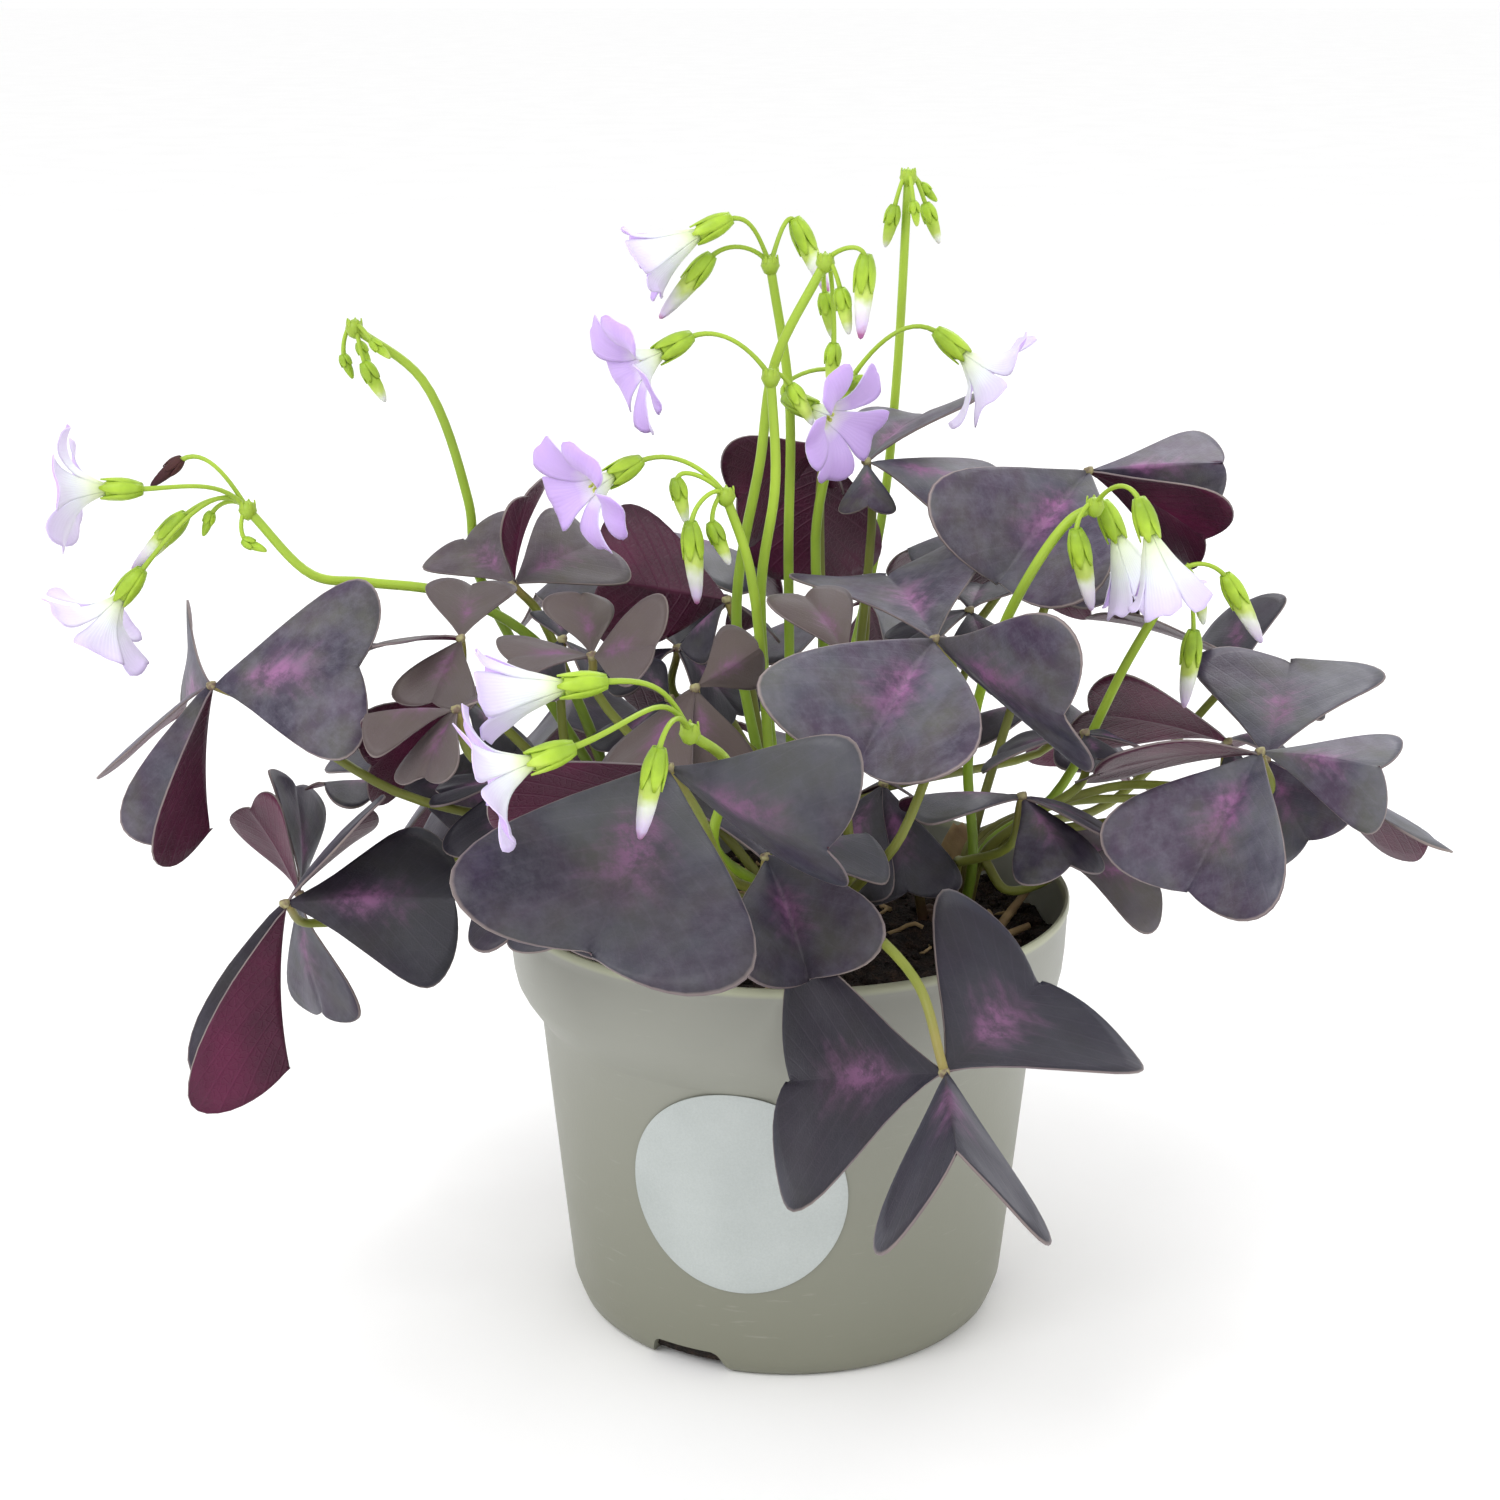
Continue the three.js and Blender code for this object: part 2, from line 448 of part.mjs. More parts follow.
/** An open flower's corolla: five petals joined round the throat, one sheet of even thickness. */
function corolla([kind, from, to], spin) {
  const sections = PETAL_SECTIONS[kind];
  const sheet = [new THREE.Vector3(0, 0, 0.5)];
  const upper = [];
  const edge = [];
  const size = 2 * sections.length;
  for (let i = 0; i < PETALS; i += 1) {
    const turn = (i / PETALS) * 2 * Math.PI + spin;
    sections.forEach(([along, out, width]) => {
      for (const side of [-1, 1]) {
        sheet.push(new THREE.Vector3(out, (side * width) / 2, along).applyAxisAngle(UP, turn));
      }
    });
    const first = 1 + i * size;
    const next = 1 + ((i + 1) % PETALS) * size;
    upper.push([0, first, first + 1], [0, first + 1, next]);
    for (let j = first; j < first + size - 2; j += 2) {
      upper.push([j, j + 2, j + 3], [j, j + 3, j + 1]);
      edge.push([j + 2, j], [j + 1, j + 3]);
    }
    edge.push([first + size - 1, first + size - 2], [next, first + 1]);
  }
  const normals = sheet.map(() => new THREE.Vector3());
  upper.forEach((corners) => {
    const [p, q, r] = corners.map((i) => sheet[i]);
    const face = q.clone().sub(p).cross(r.clone().sub(p));
    corners.forEach((i) => normals[i].add(face));
  });
  const back = sheet.map((p, i) => p.clone().addScaledVector(normals[i].normalize(), -PETAL_THICKNESS));
  const under = sheet.length;
  const lower = upper.map(([i, j, k]) => [under + i, under + k, under + j]);
  const rim = edge.flatMap(([i, j]) => [[i, j, under + j], [i, under + j, under + i]]);
  const [base, mouth] = [point(from), point(to)];
  const geometry = faceted([...sheet, ...back], [...upper, ...lower, ...rim]);
  return solid(stand(geometry, throat(base, mouth), mouth.clone().sub(base)));
}

// ---- crowns ------------------------------------------------------------------------------------

const CROWNS = { front: [4, -24], right: [34, 5], back: [4, 26], left: [-26, 2] };

/** The curve of a leaf's or flower's stalk, from inside its crown. */
function rise(crown, places) {
  const [x, y] = CROWNS[crown];
  const first = point(places[0]);
  const outward = new THREE.Vector3(first.x - x, first.y - y, 0).normalize();
  const root = new THREE.Vector3(x, y, SOIL_LEVEL).addScaledVector(outward, 4.5);
  const lift = root.clone().addScaledVector(outward, 4).setZ(SOIL_LEVEL + 18);
  return new THREE.CatmullRomCurve3([root, lift, ...places.map(point)], false, "centripetal");
}

function petiole({ crown, knob, via, near, leaflets }) {
  const hub = point(knob);
  const towards = near ? point(near).sub(hub).normalize() : facing(leaflets).negate();
  const end = hub.clone().addScaledVector(towards, KNOB_RADIUS + GAP);
  const before = near ? point(near) : end.clone().addScaledVector(towards, 9);
  const places = [...(via ? [via] : []), before.toArray(), end.toArray()];
  return stalk(rise(crown, places), PETIOLE_RADIUS, 4, 4);
}

function flowerStalk({ crown, path, items }) {
  const head = point(path.at(-1));
  const knob = new THREE.OctahedronGeometry(HEAD_RADIUS, 0).translate(head.x, head.y, head.z);
  const pieces = [stalk(rise(crown, path), SCAPE_RADIUS, 5, 6), solid(knob)];
  for (const [kind, base, mouth] of items.map(([k, b, m]) => [k, point(b), point(m)])) {
    pieces.push(pedicel(head, base, mouth));
    pieces.push(kind in BUD_SIZES ? bud(kind, base, mouth) : calyx(base, mouth));
  }
  return fuse(pieces);
}

function crownBody([x, y]) {
  const [r, foot] = [CROWN_RADIUS, -CROWN_DEPTH / 2 + GAP];
  const profile = [[0, foot], [r * 0.8, foot], [r, -2], [r * 0.9, 2], [0, 4.5]];
  return solid(turned(profile, CROWN_SIDES).translate(x, y, SOIL_LEVEL));
}

function crown(name) {
  const leaves = Object.values(LEAVES).filter((item) => item.crown === name);
  const stalks = Object.values(FLOWER_STALKS).filter((item) => item.crown === name);
  return fuse([crownBody(CROWNS[name]), ...leaves.map(petiole), ...stalks.map(flowerStalk)]).simplify(0.01);
}

// ---- materials and assembly --------------------------------------------------------------------

const finish = (color, roughness) => new THREE.MeshStandardMaterial({ color, roughness, metalness: 0 });
const PLASTIC = finish("#969888", 0.5);
const PAPER = finish("#d3ddd8", 0.6);
const PEAT = finish("#2a211c", 0.95);
const GREEN = finish("#9db83a", 0.5);
const PURPLE = finish("#4a4650", 0.55);
const LILAC = finish("#cdbdf0", 0.5);

const group = new THREE.Group();
const holder = new THREE.Group();
const plant = new THREE.Group();
group.add(holder, plant);

node(holder, "pot", pot(), PLASTIC);
node(holder, "label", label(), PAPER);
node(holder, "soil", soil(Object.values(CROWNS)), PEAT);
for (const name of Object.keys(CROWNS)) node(plant, `crown_${name}`, crown(name), GREEN);
for (const [name, item] of Object.entries(LEAVES)) node(plant, `leaf_${name}`, leaf(item), PURPLE);
for (const [name, { items }] of Object.entries(FLOWER_STALKS)) {
  items.filter(([kind]) => kind in PETAL_SECTIONS).forEach((item, i) => {
    node(plant, `flower_${name}_${i + 1}`, corolla(item, i * 0.6), LILAC);
  });
}

export default group;
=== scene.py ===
# %% [markdown]
# # A purple shamrock in its nursery pot
#
# The real object is a purple shamrock, Oxalis triangularis, in the thin taupe pot it was grown in.
# Each leaf has three broad heart-shaped leaflets that hang from one small knob, so dark that their
# upper faces look slate grey and their undersides wine red, and lilac flowers nod above them.
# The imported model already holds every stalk, leaf and flower as a plain solid. It could be given
# colours alone, but a leaf is known by its veins, its waved margin and its two-coloured faces, so
# this lesson builds a finer piece in the place of each solid and then paints it.

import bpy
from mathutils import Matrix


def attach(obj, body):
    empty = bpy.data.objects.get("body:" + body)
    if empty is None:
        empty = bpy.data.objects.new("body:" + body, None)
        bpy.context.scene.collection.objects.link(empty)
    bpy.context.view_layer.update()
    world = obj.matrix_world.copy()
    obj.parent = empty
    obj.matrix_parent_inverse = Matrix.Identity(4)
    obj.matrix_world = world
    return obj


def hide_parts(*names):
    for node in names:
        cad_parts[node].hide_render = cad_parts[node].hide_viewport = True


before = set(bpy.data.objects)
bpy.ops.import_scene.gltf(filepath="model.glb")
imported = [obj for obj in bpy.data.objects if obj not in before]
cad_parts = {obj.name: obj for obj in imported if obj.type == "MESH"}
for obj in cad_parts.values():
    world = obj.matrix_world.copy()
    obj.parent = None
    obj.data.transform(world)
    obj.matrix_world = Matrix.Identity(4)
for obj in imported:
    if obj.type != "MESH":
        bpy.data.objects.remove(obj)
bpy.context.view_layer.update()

# %% Modules and units
import math
import random

import bmesh
import bpy
from mathutils import Matrix, Vector, noise

MM = 0.001
UP = Vector((0, 0, 1))
scene = bpy.context.scene


# %% Putting things into the scene
def placed(name, data):
    """A new object in the scene."""
    made = bpy.data.objects.new(name, data)
    scene.collection.objects.link(made)
    return made


def mesh_from(name, shape):
    """A mesh made of a shape, which is used up."""
    mesh = bpy.data.meshes.new(name)
    shape.to_mesh(mesh)
    shape.free()
    return mesh


# %% [markdown]
# ## The viewpoint
#
# The camera comes first, so that every later step can be looked at. It stands a little above the
# plant, about 60 cm away, with a fairly long lens: a wide lens close by would swell the front
# leaves. It is aimed by turning its own back, which is its +Z, towards the place it stands in.

# %% The camera
VIEW_DISTANCE = 591.2
VIEW_ELEVATION = math.radians(16.79)
LOOK_AT = Vector((-8.16, 0, 123.04))
LENS = 67.2
SENSOR = 36

viewpoint = bpy.data.cameras.new("viewpoint")
viewpoint.lens = LENS
viewpoint.sensor_width = SENSOR
camera = placed("viewpoint", viewpoint)
away = Vector((0, -math.cos(VIEW_ELEVATION), math.sin(VIEW_ELEVATION)))
camera.location = (LOOK_AT + away * VIEW_DISTANCE) * MM
camera.rotation_euler = away.to_track_quat("Z", "Y").to_euler()
scene.camera = camera
print("the camera stands at", [round(c, 3) for c in camera.location])

# %% [markdown]
# ## Light and floor
#
# The plant is seen as in a bright room against white, with hardly any shadow. A sun lamp would
# give hard edges, so three broad lamps and a white sky are used: the largest lamp stands to the
# upper left, a weak one fills the right side and the third lights the back. The floor is a pale sheet.

# %% Colours from hexadecimal digits
def linear(digits):
    """An sRGB colour written as #rrggbb, turned into the linear numbers that shaders use."""
    parts = [int(digits[i:i + 2], 16) / 255 for i in (1, 3, 5)]
    return [c / 12.92 if c <= 0.04045 else ((c + 0.055) / 1.055) ** 2.4 for c in parts] + [1.0]


# %% Sky and lamps
scene.view_settings.view_transform = "Standard"
sky = bpy.data.worlds.new("pale_sky")
sky.use_nodes = True
background = sky.node_tree.nodes["Background"].inputs
background["Color"].default_value = linear("#ffffff")
background["Strength"].default_value = 1.0
scene.world = sky

# Each lamp: its place, its width in metres, and its power in watts.
LAMPS = {
    "window": ((-0.75, -0.85, 1.15), 0.9, 9),
    "fill": ((0.95, -0.7, 0.6), 0.8, 2),
    "behind": ((0.35, 0.9, 0.9), 0.7, 4),
}
for name, (place, width, power) in LAMPS.items():
    lamp = bpy.data.lights.new(name, "AREA")
    lamp.shape = "DISK"
    lamp.size = width
    lamp.energy = power
    holder = placed(name, lamp)
    holder.location = place
    holder.rotation_euler = (Vector(place) - LOOK_AT * MM).to_track_quat("Z", "Y").to_euler()
print(len(LAMPS), "lamps")

# %% [markdown]
# ## Helpers for materials
#
# Every finish below is one Principled shader fed by patterns. Adding a node takes three lines in
# Blender: make it, set it, link it. One helper does all three, for any kind of node, and a few short
# ones call it for the steps that come again and again.

# %% Adding a node
def add(tree, kind, inputs=None, stops=None, **settings):
    """A new node: settings are its options, inputs are numbers or other nodes' outputs.

    The stops of a ramp are its two ends first, and then the places between them.
    """
    made = tree.nodes.new("ShaderNode" + kind)
    for option, value in settings.items():
        setattr(made, option, value)
    for socket, value in (inputs or {}).items():
        if isinstance(value, bpy.types.NodeSocket):
            tree.links.new(value, made.inputs[socket])
        else:
            made.inputs[socket].default_value = value
    for i, (place, digits) in enumerate(stops or []):
        ramp = made.color_ramp.elements
        stop = ramp[i] if i < 2 else ramp.new(place)
        stop.position = place
        stop.color = linear(digits)
    return made


# %% Steps that come again
def reckon(tree, operation, *values):
    """One step of arithmetic."""
    return add(tree, "Math", dict(enumerate(values)), operation=operation).outputs[0]


def ranged(tree, value, start, end, low=0.0, high=1.0, **settings):
    """A value between start and end, carried over to the range from low to high."""
    inputs = {0: value, 1: start, 2: end, 3: low, 4: high}
    return add(tree, "MapRange", inputs, **settings).outputs[0]


def clouds(tree, place, scale, detail=2.0, **inputs):
    """A soft noise with as many lumps to a unit of the place as its scale says."""
    inputs.update(Vector=place, Scale=scale, Detail=detail)
    return add(tree, "TexNoise", inputs).outputs["Fac"]


def toned(tree, value, stops):
    """The colours of a ramp, driven by a value."""
    return add(tree, "ValToRGB", {"Fac": value}, stops=stops).outputs["Color"]


def mixed(tree, share, ground, digits):
    """A share of a plain colour over the ground."""
    inputs = {"Fac": share, "Color1": ground, "Color2": linear(digits)}
    return add(tree, "MixRGB", inputs).outputs["Color"]


# %% Starting and ending a finish
def finish(name, **sockets):
    """A new material, its node tree, and the place on the object, in metres."""
    made = bpy.data.materials.new(name)
    made.use_nodes = True
    shader = made.node_tree.nodes["Principled BSDF"]
    for socket, value in sockets.items():
        shader.inputs[socket.replace("_", " ")].default_value = value
    return made, made.node_tree, add(made.node_tree, "TexCoord").outputs["Object"]


def dressed(made, colour, height=None, strength=0.0, depth=0.0, roughness=None):
    """Links a material's colour and, where given, its relief, depth in metres, and its roughness."""
    tree = made.node_tree
    shader = tree.nodes["Principled BSDF"].inputs
    tree.links.new(colour, shader["Base Color"])
    if height is not None:
        bump = add(tree, "Bump", {"Height": height, "Strength": strength, "Distance": depth})
        tree.links.new(bump.outputs["Normal"], shader["Normal"])
    if roughness is not None:
        tree.links.new(roughness, shader["Roughness"])
    return made


def mottled(name, scale, detail, stops, **sockets):
    """A finish with one tone that a noise moves a little."""
    made, tree, here = finish(name, **sockets)
    return dressed(made, toned(tree, clouds(tree, here, scale, detail), stops))


# %% [markdown]
# ## The floor's finish
#
# A sheet of matt white board. It is almost even, but paper board always has a little mottling, so
# a faint noise of about 60 mm moves its colour by a hair.

# %% Floor
FLOOR_SIZE = 16
sheet = bmesh.new()
bmesh.ops.create_grid(sheet, x_segments=4, y_segments=4, size=FLOOR_SIZE / 2)
floor = placed("floor", mesh_from("floor", sheet))
board_stops = [(0.3, "#fcfcfc"), (0.7, "#ffffff")]
floor.data.materials.append(mottled("matt_white_board", 16.0, 3.0, board_stops, Roughness=0.9))
print("floor", FLOOR_SIZE, "m wide")

# %% [markdown]
# ## Helpers for shapes
#
# All shapes are worked out in millimetres, as a grower or a mould maker would, and only turned to
# metres when they become an object. Three moves make nearly everything here: a profile is spun
# into a round body, a ring is carried along a route into a stalk, and a grid is bent into a blade.

# %% Gathering parts and making a piece
def blank():
    """An empty shape that can hold a place along a stalk, a leaf's age with its painted shade, its painted
    light, and two flat maps.
    """
    made = bmesh.new()
    made.verts.layers.float.new("along")
    made.verts.layers.float.new("youth_and_painted_shade")
    made.verts.layers.float.new("painted_light")
    made.verts.layers.float_vector.new("down")
    made.loops.layers.uv.new("blade")
    made.loops.layers.uv.new("vein")
    return made


def gather(whole, part):
    """Adds a part's faces to a whole."""
    loose = mesh_from("loose", part)
    whole.from_mesh(loose)
    bpy.data.meshes.remove(loose)


def piece(name, shape, finishes, slot, *nodes, crease=None):
    """Makes a shape in millimetres an object in metres that stands for its nodes."""
    bmesh.ops.scale(shape, vec=(MM, MM, MM), verts=shape.verts)
    mesh = mesh_from(name, shape)
    for made in finishes:
        mesh.materials.append(made)
    mesh.shade_smooth()
    if crease:
        mesh.set_sharp_from_angle(angle=math.radians(crease))
    made = placed(name, mesh)
    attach(made, "root")
    if nodes:
        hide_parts(*nodes)
    print(f"{name}: {len(mesh.polygons)} faces")


# %% Small steps on a shape
def points_and_edges(parts):
    """The points and the edges among the parts that a step has grown."""
    points = [part for part in parts if isinstance(part, bmesh.types.BMVert)]
    return points, [part for part in parts if isinstance(part, bmesh.types.BMEdge)]


def outward(shape):
    """Turns every face outward."""
    bmesh.ops.recalc_face_normals(shape, faces=shape.faces)
    return shape


def between(ends, share):
    """The value at a share of the way from one end to the other."""
    return ends[0] + share * (ends[1] - ends[0])


def thickened(sheet, edge_finish):
    """Gives a sheet its thickness: each point's stored way down leads to the other face."""
    upper = set(sheet.faces)
    grown = bmesh.ops.extrude_face_region(sheet, geom=sheet.faces[:], use_keep_orig=True)["geom"]
    under = {part for part in grown if isinstance(part, bmesh.types.BMFace)}
    way = sheet.verts.layers.float_vector["down"]
    for vert in points_and_edges(grown)[0]:
        vert.co += vert[way]
    for face in sheet.faces:
        face.material_index = 0 if face in upper else 1 if face in under else edge_finish
    return outward(sheet)


def paint(shape, index):
    """Gives every face of a shape one of its piece's finishes."""
    for face in shape.faces:
        face.material_index = index
    return shape


# %% Spinning a profile
def spun(profile, steps, along=(0, 0)):
    """A round body about +Z, from radius and height pairs, with its place along a stalk."""
    made = blank()
    corners = [made.verts.new((radius, 0, height)) for radius, height in profile]
    edges = [made.edges.new(pair) for pair in zip(corners, corners[1:])]
    bmesh.ops.spin(made, geom=corners + edges, axis=UP, cent=(0, 0, 0), steps=steps,
                   angle=2 * math.pi, use_merge=True)
    bmesh.ops.remove_doubles(made, verts=made.verts, dist=0.001)
    low = min(height for _, height in profile)
    high = max(height for _, height in profile)
    layer = made.verts.layers.float["along"]
    for vert in made.verts:
        vert[layer] = between(along, (vert.co.z - low) / (high - low))
    return outward(made)


def stand(shape, base, axis, spin=0.0):
    """Stands a shape made along +Z at a base, along an axis."""
    turn = UP.rotation_difference(axis.normalized()).to_matrix().to_4x4()
    place = Matrix.Translation(base) @ turn @ Matrix.Rotation(spin, 4, "Z")
    bmesh.ops.transform(shape, matrix=place, verts=shape.verts)
    return shape


# %% Carrying a ring along a route
def carried(places, radii, sides, along=(0, 1)):
    """A closed stalk: a ring is extruded from place to place, turning with the route."""
    made = blank()
    layer = made.verts.layers.float["along"]
    last = len(places) - 1
    ways = [(places[min(i + 1, last)] - places[max(i - 1, 0)]).normalized() for i in range(last + 1)]
    start = Matrix.Translation(places[0]) @ ways[0].to_track_quat("Z", "Y").to_matrix().to_4x4()
    ring = bmesh.ops.create_circle(made, cap_ends=True, segments=sides, radius=radii[0], matrix=start)
    ring = ring["verts"]
    edges = made.edges[:]
    for vert in ring:
        vert[layer] = along[0]
    for i in range(1, last + 1):
        ring, edges = points_and_edges(bmesh.ops.extrude_edge_only(made, edges=edges)["geom"])
        turn = ways[i - 1].rotation_difference(ways[i]).to_matrix().to_4x4()
        size = Matrix.Scale(radii[i] / radii[i - 1], 4)
        step = Matrix.Translation(places[i]) @ turn @ size @ Matrix.Translation(-places[i - 1])
        bmesh.ops.transform(made, matrix=step, verts=ring)
        for vert in ring:
            vert[layer] = between(along, i / last)
    bmesh.ops.contextual_create(made, geom=edges)
    return outward(made)


# %% [markdown]
# ## The pot's shape
#
# A 12 cm nursery pot is injection moulded from polypropylene: a thin tapering wall, a wider
# collar that lets pots stack, a rolled lip, and three drainage recesses round the foot. The wall
# is one profile spun round, inside and out, so that it has its real thickness at the mouth.

# %% Pot sizes
POT_HEIGHT = 92.5
RIM_RADIUS = 60
FOOT_RADIUS = 43
FLOOR_HEIGHT = 1.5
WALL = 1.2
COLLAR_BOTTOM = 67.5
POT_STEPS = 144
INNER_HEIGHTS = (77, 74, 68, 66, 50, 30, 8)

DRAIN_COUNT = 3
DRAIN_TURN = math.radians(-118)
DRAIN_HEIGHT = 5.2
DRAIN_HALF_TOP = 7.2
DRAIN_HALF_FOOT = 9.6
DRAIN_INNER_RADIUS = 34
DRAIN_ROUNDING = 1.4
HOOD_OUTER_RADIUS = 42
HOOD_BOTTOM = 0.6

POT_OUTSIDE = [
    (FOOT_RADIUS, 0), (44.2, 0.3), (45.3, 1.4), (46.2, 3.6), (47.2, 6.5), (48.3, 17), (50.3, 37),
    (53.2, COLLAR_BOTTOM - 1), (53.7, COLLAR_BOTTOM), (55.2, COLLAR_BOTTOM + 2), (57.2, COLLAR_BOTTOM + 5),
    (58.3, COLLAR_BOTTOM + 7.2), (58.9, COLLAR_BOTTOM + 10), (59.3, COLLAR_BOTTOM + 14),
    (59.6, POT_HEIGHT - 4), (59.7, POT_HEIGHT - 2.2), (60, POT_HEIGHT - 1.6), (60, POT_HEIGHT - 0.4),
    (59.7, POT_HEIGHT),
]


def inner_radius(height, clearance=0.0):
    """Radius of the pot's inside at a height."""
    for (r0, z0), (r1, z1) in zip(POT_OUTSIDE, POT_OUTSIDE[1:]):
        if z0 <= height <= z1:
            return r0 + (r1 - r0) * (height - z0) / (z1 - z0) - WALL - clearance
    return RIM_RADIUS - WALL - clearance


# %% Pot body and drainage recesses
def drain_block(inner, outer, half_top, half_foot, bottom, top, turn):
    """A wedge across the pot's foot, narrower at its top, with its upper edges rounded."""
    made = blank()
    bmesh.ops.create_cube(made, size=1)
    for vert in made.verts:
        half = half_top if vert.co.z > 0 else half_foot
        vert.co = Vector((
            inner if vert.co.x < 0 else outer,
            half if vert.co.y > 0 else -half,
            top if vert.co.z > 0 else bottom,
        ))
    upper = [e for e in made.edges if all(v.co.z > top - 0.01 for v in e.verts)
             and abs(e.verts[0].co.y - e.verts[1].co.y) < 0.01]
    bmesh.ops.bevel(made, geom=upper, offset=DRAIN_ROUNDING, segments=4, affect="EDGES", profile=0.5,
                    material=-1)
    bmesh.ops.transform(made, matrix=Matrix.Rotation(turn, 4, "Z"), verts=made.verts)
    return made


def pot_shape():
    """The pot's wall, floor and rolled lip, with its recesses cut by booleans."""
    inside = [(inner_radius(z), z) for z in (POT_HEIGHT - 1, 84, *INNER_HEIGHTS)]
    mouth = [(59.2, POT_HEIGHT), (58.9, POT_HEIGHT - 0.4)]
    profile = [(0, 0), (20, 0), *POT_OUTSIDE, *mouth, *inside, (40, FLOOR_HEIGHT), (0, FLOOR_HEIGHT)]
    body = placed("pot_body", mesh_from("pot_body", spun(profile, POT_STEPS)))
    helpers = []
    for i in range(DRAIN_COUNT):
        turn = DRAIN_TURN + i * 2 * math.pi / DRAIN_COUNT
        hood = drain_block(DRAIN_INNER_RADIUS - WALL, HOOD_OUTER_RADIUS, DRAIN_HALF_TOP + 2,
                           DRAIN_HALF_FOOT + 1.4, HOOD_BOTTOM, DRAIN_HEIGHT + WALL, turn)
        gap = drain_block(DRAIN_INNER_RADIUS, RIM_RADIUS, DRAIN_HALF_TOP, DRAIN_HALF_FOOT,
                          -HOOD_BOTTOM, DRAIN_HEIGHT, turn)
        for name, shape, kind in (("hood", hood, "UNION"), ("gap", gap, "DIFFERENCE")):
            helpers.append(placed(name, mesh_from(name, shape)))
            cut = body.modifiers.new(name, "BOOLEAN")
            cut.operation = kind
            cut.object = helpers[-1]
            cut.solver = "EXACT"
    bpy.context.view_layer.update()
    finished = body.evaluated_get(bpy.context.evaluated_depsgraph_get())
    whole = blank()
    whole.from_mesh(finished.to_mesh())
    for spare in [body, *helpers]:
        bpy.data.objects.remove(spare)
    return whole


# %% [markdown]
# ## The pot's finish
#
# The plastic is recycled polypropylene, a grey-taupe with satin gloss: IOR 1.49 and a roughness
# from 0.36 to 0.5, which water stains leave uneven. Moulding leaves a fine orange-peel skin and
# handling leaves pale scuffs. Light and shade are painted into the tone: lighter at the rim, with a painted
# highlight along the lip, falling to a darker olive at the foot as painted shade.

# %% Satin polypropylene
LIP_LOW = POT_HEIGHT - 2.2
LIP_HIGH = POT_HEIGHT - 1.2


def satin_polypropylene():
    made, tree, here = finish("satin_polypropylene", Roughness=0.42, IOR=1.49)
    height = add(tree, "SeparateXYZ", {"Vector": here}).outputs["Z"]
    cloud = clouds(tree, here, 22.0, 4.0)
    # Painted light and shade: the tone is lighter towards the rim, where light from above falls, and darker
    # olive towards the foot as painted shade near the floor.
    painted_light_by_height = ranged(tree, height, 0.0, POT_HEIGHT * MM)
    tone = toned(tree, reckon(tree, "ADD", painted_light_by_height, reckon(tree, "MULTIPLY", cloud, 0.22)), [
        (0.05, "#757565"), (0.95, "#8c8d84"), (0.35, "#7c7d6f"), (0.7, "#85867a")])
    # Painted highlight: a pale band on the rolled lip, where the light catches it.
    rim = mixed(tree, ranged(tree, height, LIP_LOW * MM, LIP_HIGH * MM), tone, "#a4a78e")
    # Scuffs are drawn as long thin noise round the wall, about 8 mm by 1 mm.
    stretch = add(tree, "Mapping", {"Vector": here, "Scale": (120, 120, 900)}).outputs["Vector"]
    scuff = ranged(tree, clouds(tree, stretch, 1.0, 3.0), 0.66, 0.8, 0.0, 0.35)
    worn = mixed(tree, scuff, rim, "#9fa096")
    # The moulded skin has lumps of about 0.7 mm.
    gloss = ranged(tree, cloud, 0.3, 0.7, 0.36, 0.5)
    return dressed(made, worn, clouds(tree, here, 1400.0), 0.12, 0.0002, roughness=gloss)


piece("pot_moulded", pot_shape(), [satin_polypropylene()], "pot_plastic", "pot", crease=38)

# %% [markdown]
# ## The round sticker
#
# A round paper label, 46 mm across, is bent round the front of the pot. It is left bare here. A
# disc of rings is laid flat first and then wrapped round the tapering wall, so its rim stays a
# true circle on the plastic.

# %% Label sizes and shape
LABEL_RADIUS = 23
LABEL_STEPS = 96
LABEL_RINGS = 11
LABEL_HEIGHT = 44
LABEL_TURN = math.radians(-102.5)
LABEL_LIFT = 0.12
LABEL_THICKNESS = 0.2
WALL_LOW = (47.2, 6.5)
WALL_HIGH = (53.5, COLLAR_BOTTOM)
WALL_SLOPE = (WALL_HIGH[0] - WALL_LOW[0]) / (WALL_HIGH[1] - WALL_LOW[1])


def label_shape():
    """A flat round sheet, given its thickness, then wrapped round the wall."""
    made = blank()
    bmesh.ops.create_circle(made, cap_ends=True, segments=LABEL_STEPS, radius=LABEL_RADIUS)
    for _ in range(LABEL_RINGS - 1):
        inner = max(made.faces, key=lambda face: len(face.verts))
        bmesh.ops.inset_individual(made, faces=[inner], thickness=LABEL_RADIUS / LABEL_RINGS,
                                   use_even_offset=True)
    lifted, _ = points_and_edges(bmesh.ops.extrude_face_region(made, geom=made.faces[:])["geom"])
    bmesh.ops.translate(made, vec=(0, 0, LABEL_THICKNESS), verts=lifted)
    outer = [v for v in made.verts if v.co.z > 0.01 and v.co.xy.length > LABEL_RADIUS - 0.01]
    rim = [e for e in made.edges if all(v in outer for v in e.verts)]
    bmesh.ops.bevel(made, geom=rim, offset=0.08, segments=2, affect="EDGES", profile=0.5, material=-1)
    for vert in made.verts:
        across, up, lift = vert.co
        radius = WALL_LOW[0] + WALL_SLOPE * (LABEL_HEIGHT + up - WALL_LOW[1]) + LABEL_LIFT + lift
        bearing = LABEL_TURN + across / radius
        vert.co = Vector((radius * math.cos(bearing), radius * math.sin(bearing), LABEL_HEIGHT + up))
    return outward(made)


# %% [markdown]
# ## The sticker's finish
#
# Coated label paper: a pale mint grey that strong light turns nearly white, IOR 1.5, with a soft
# roughness of 0.55. Paper fibres are finer than a view of the whole pot shows, so they are drawn as
# a 0.4 mm mottle.

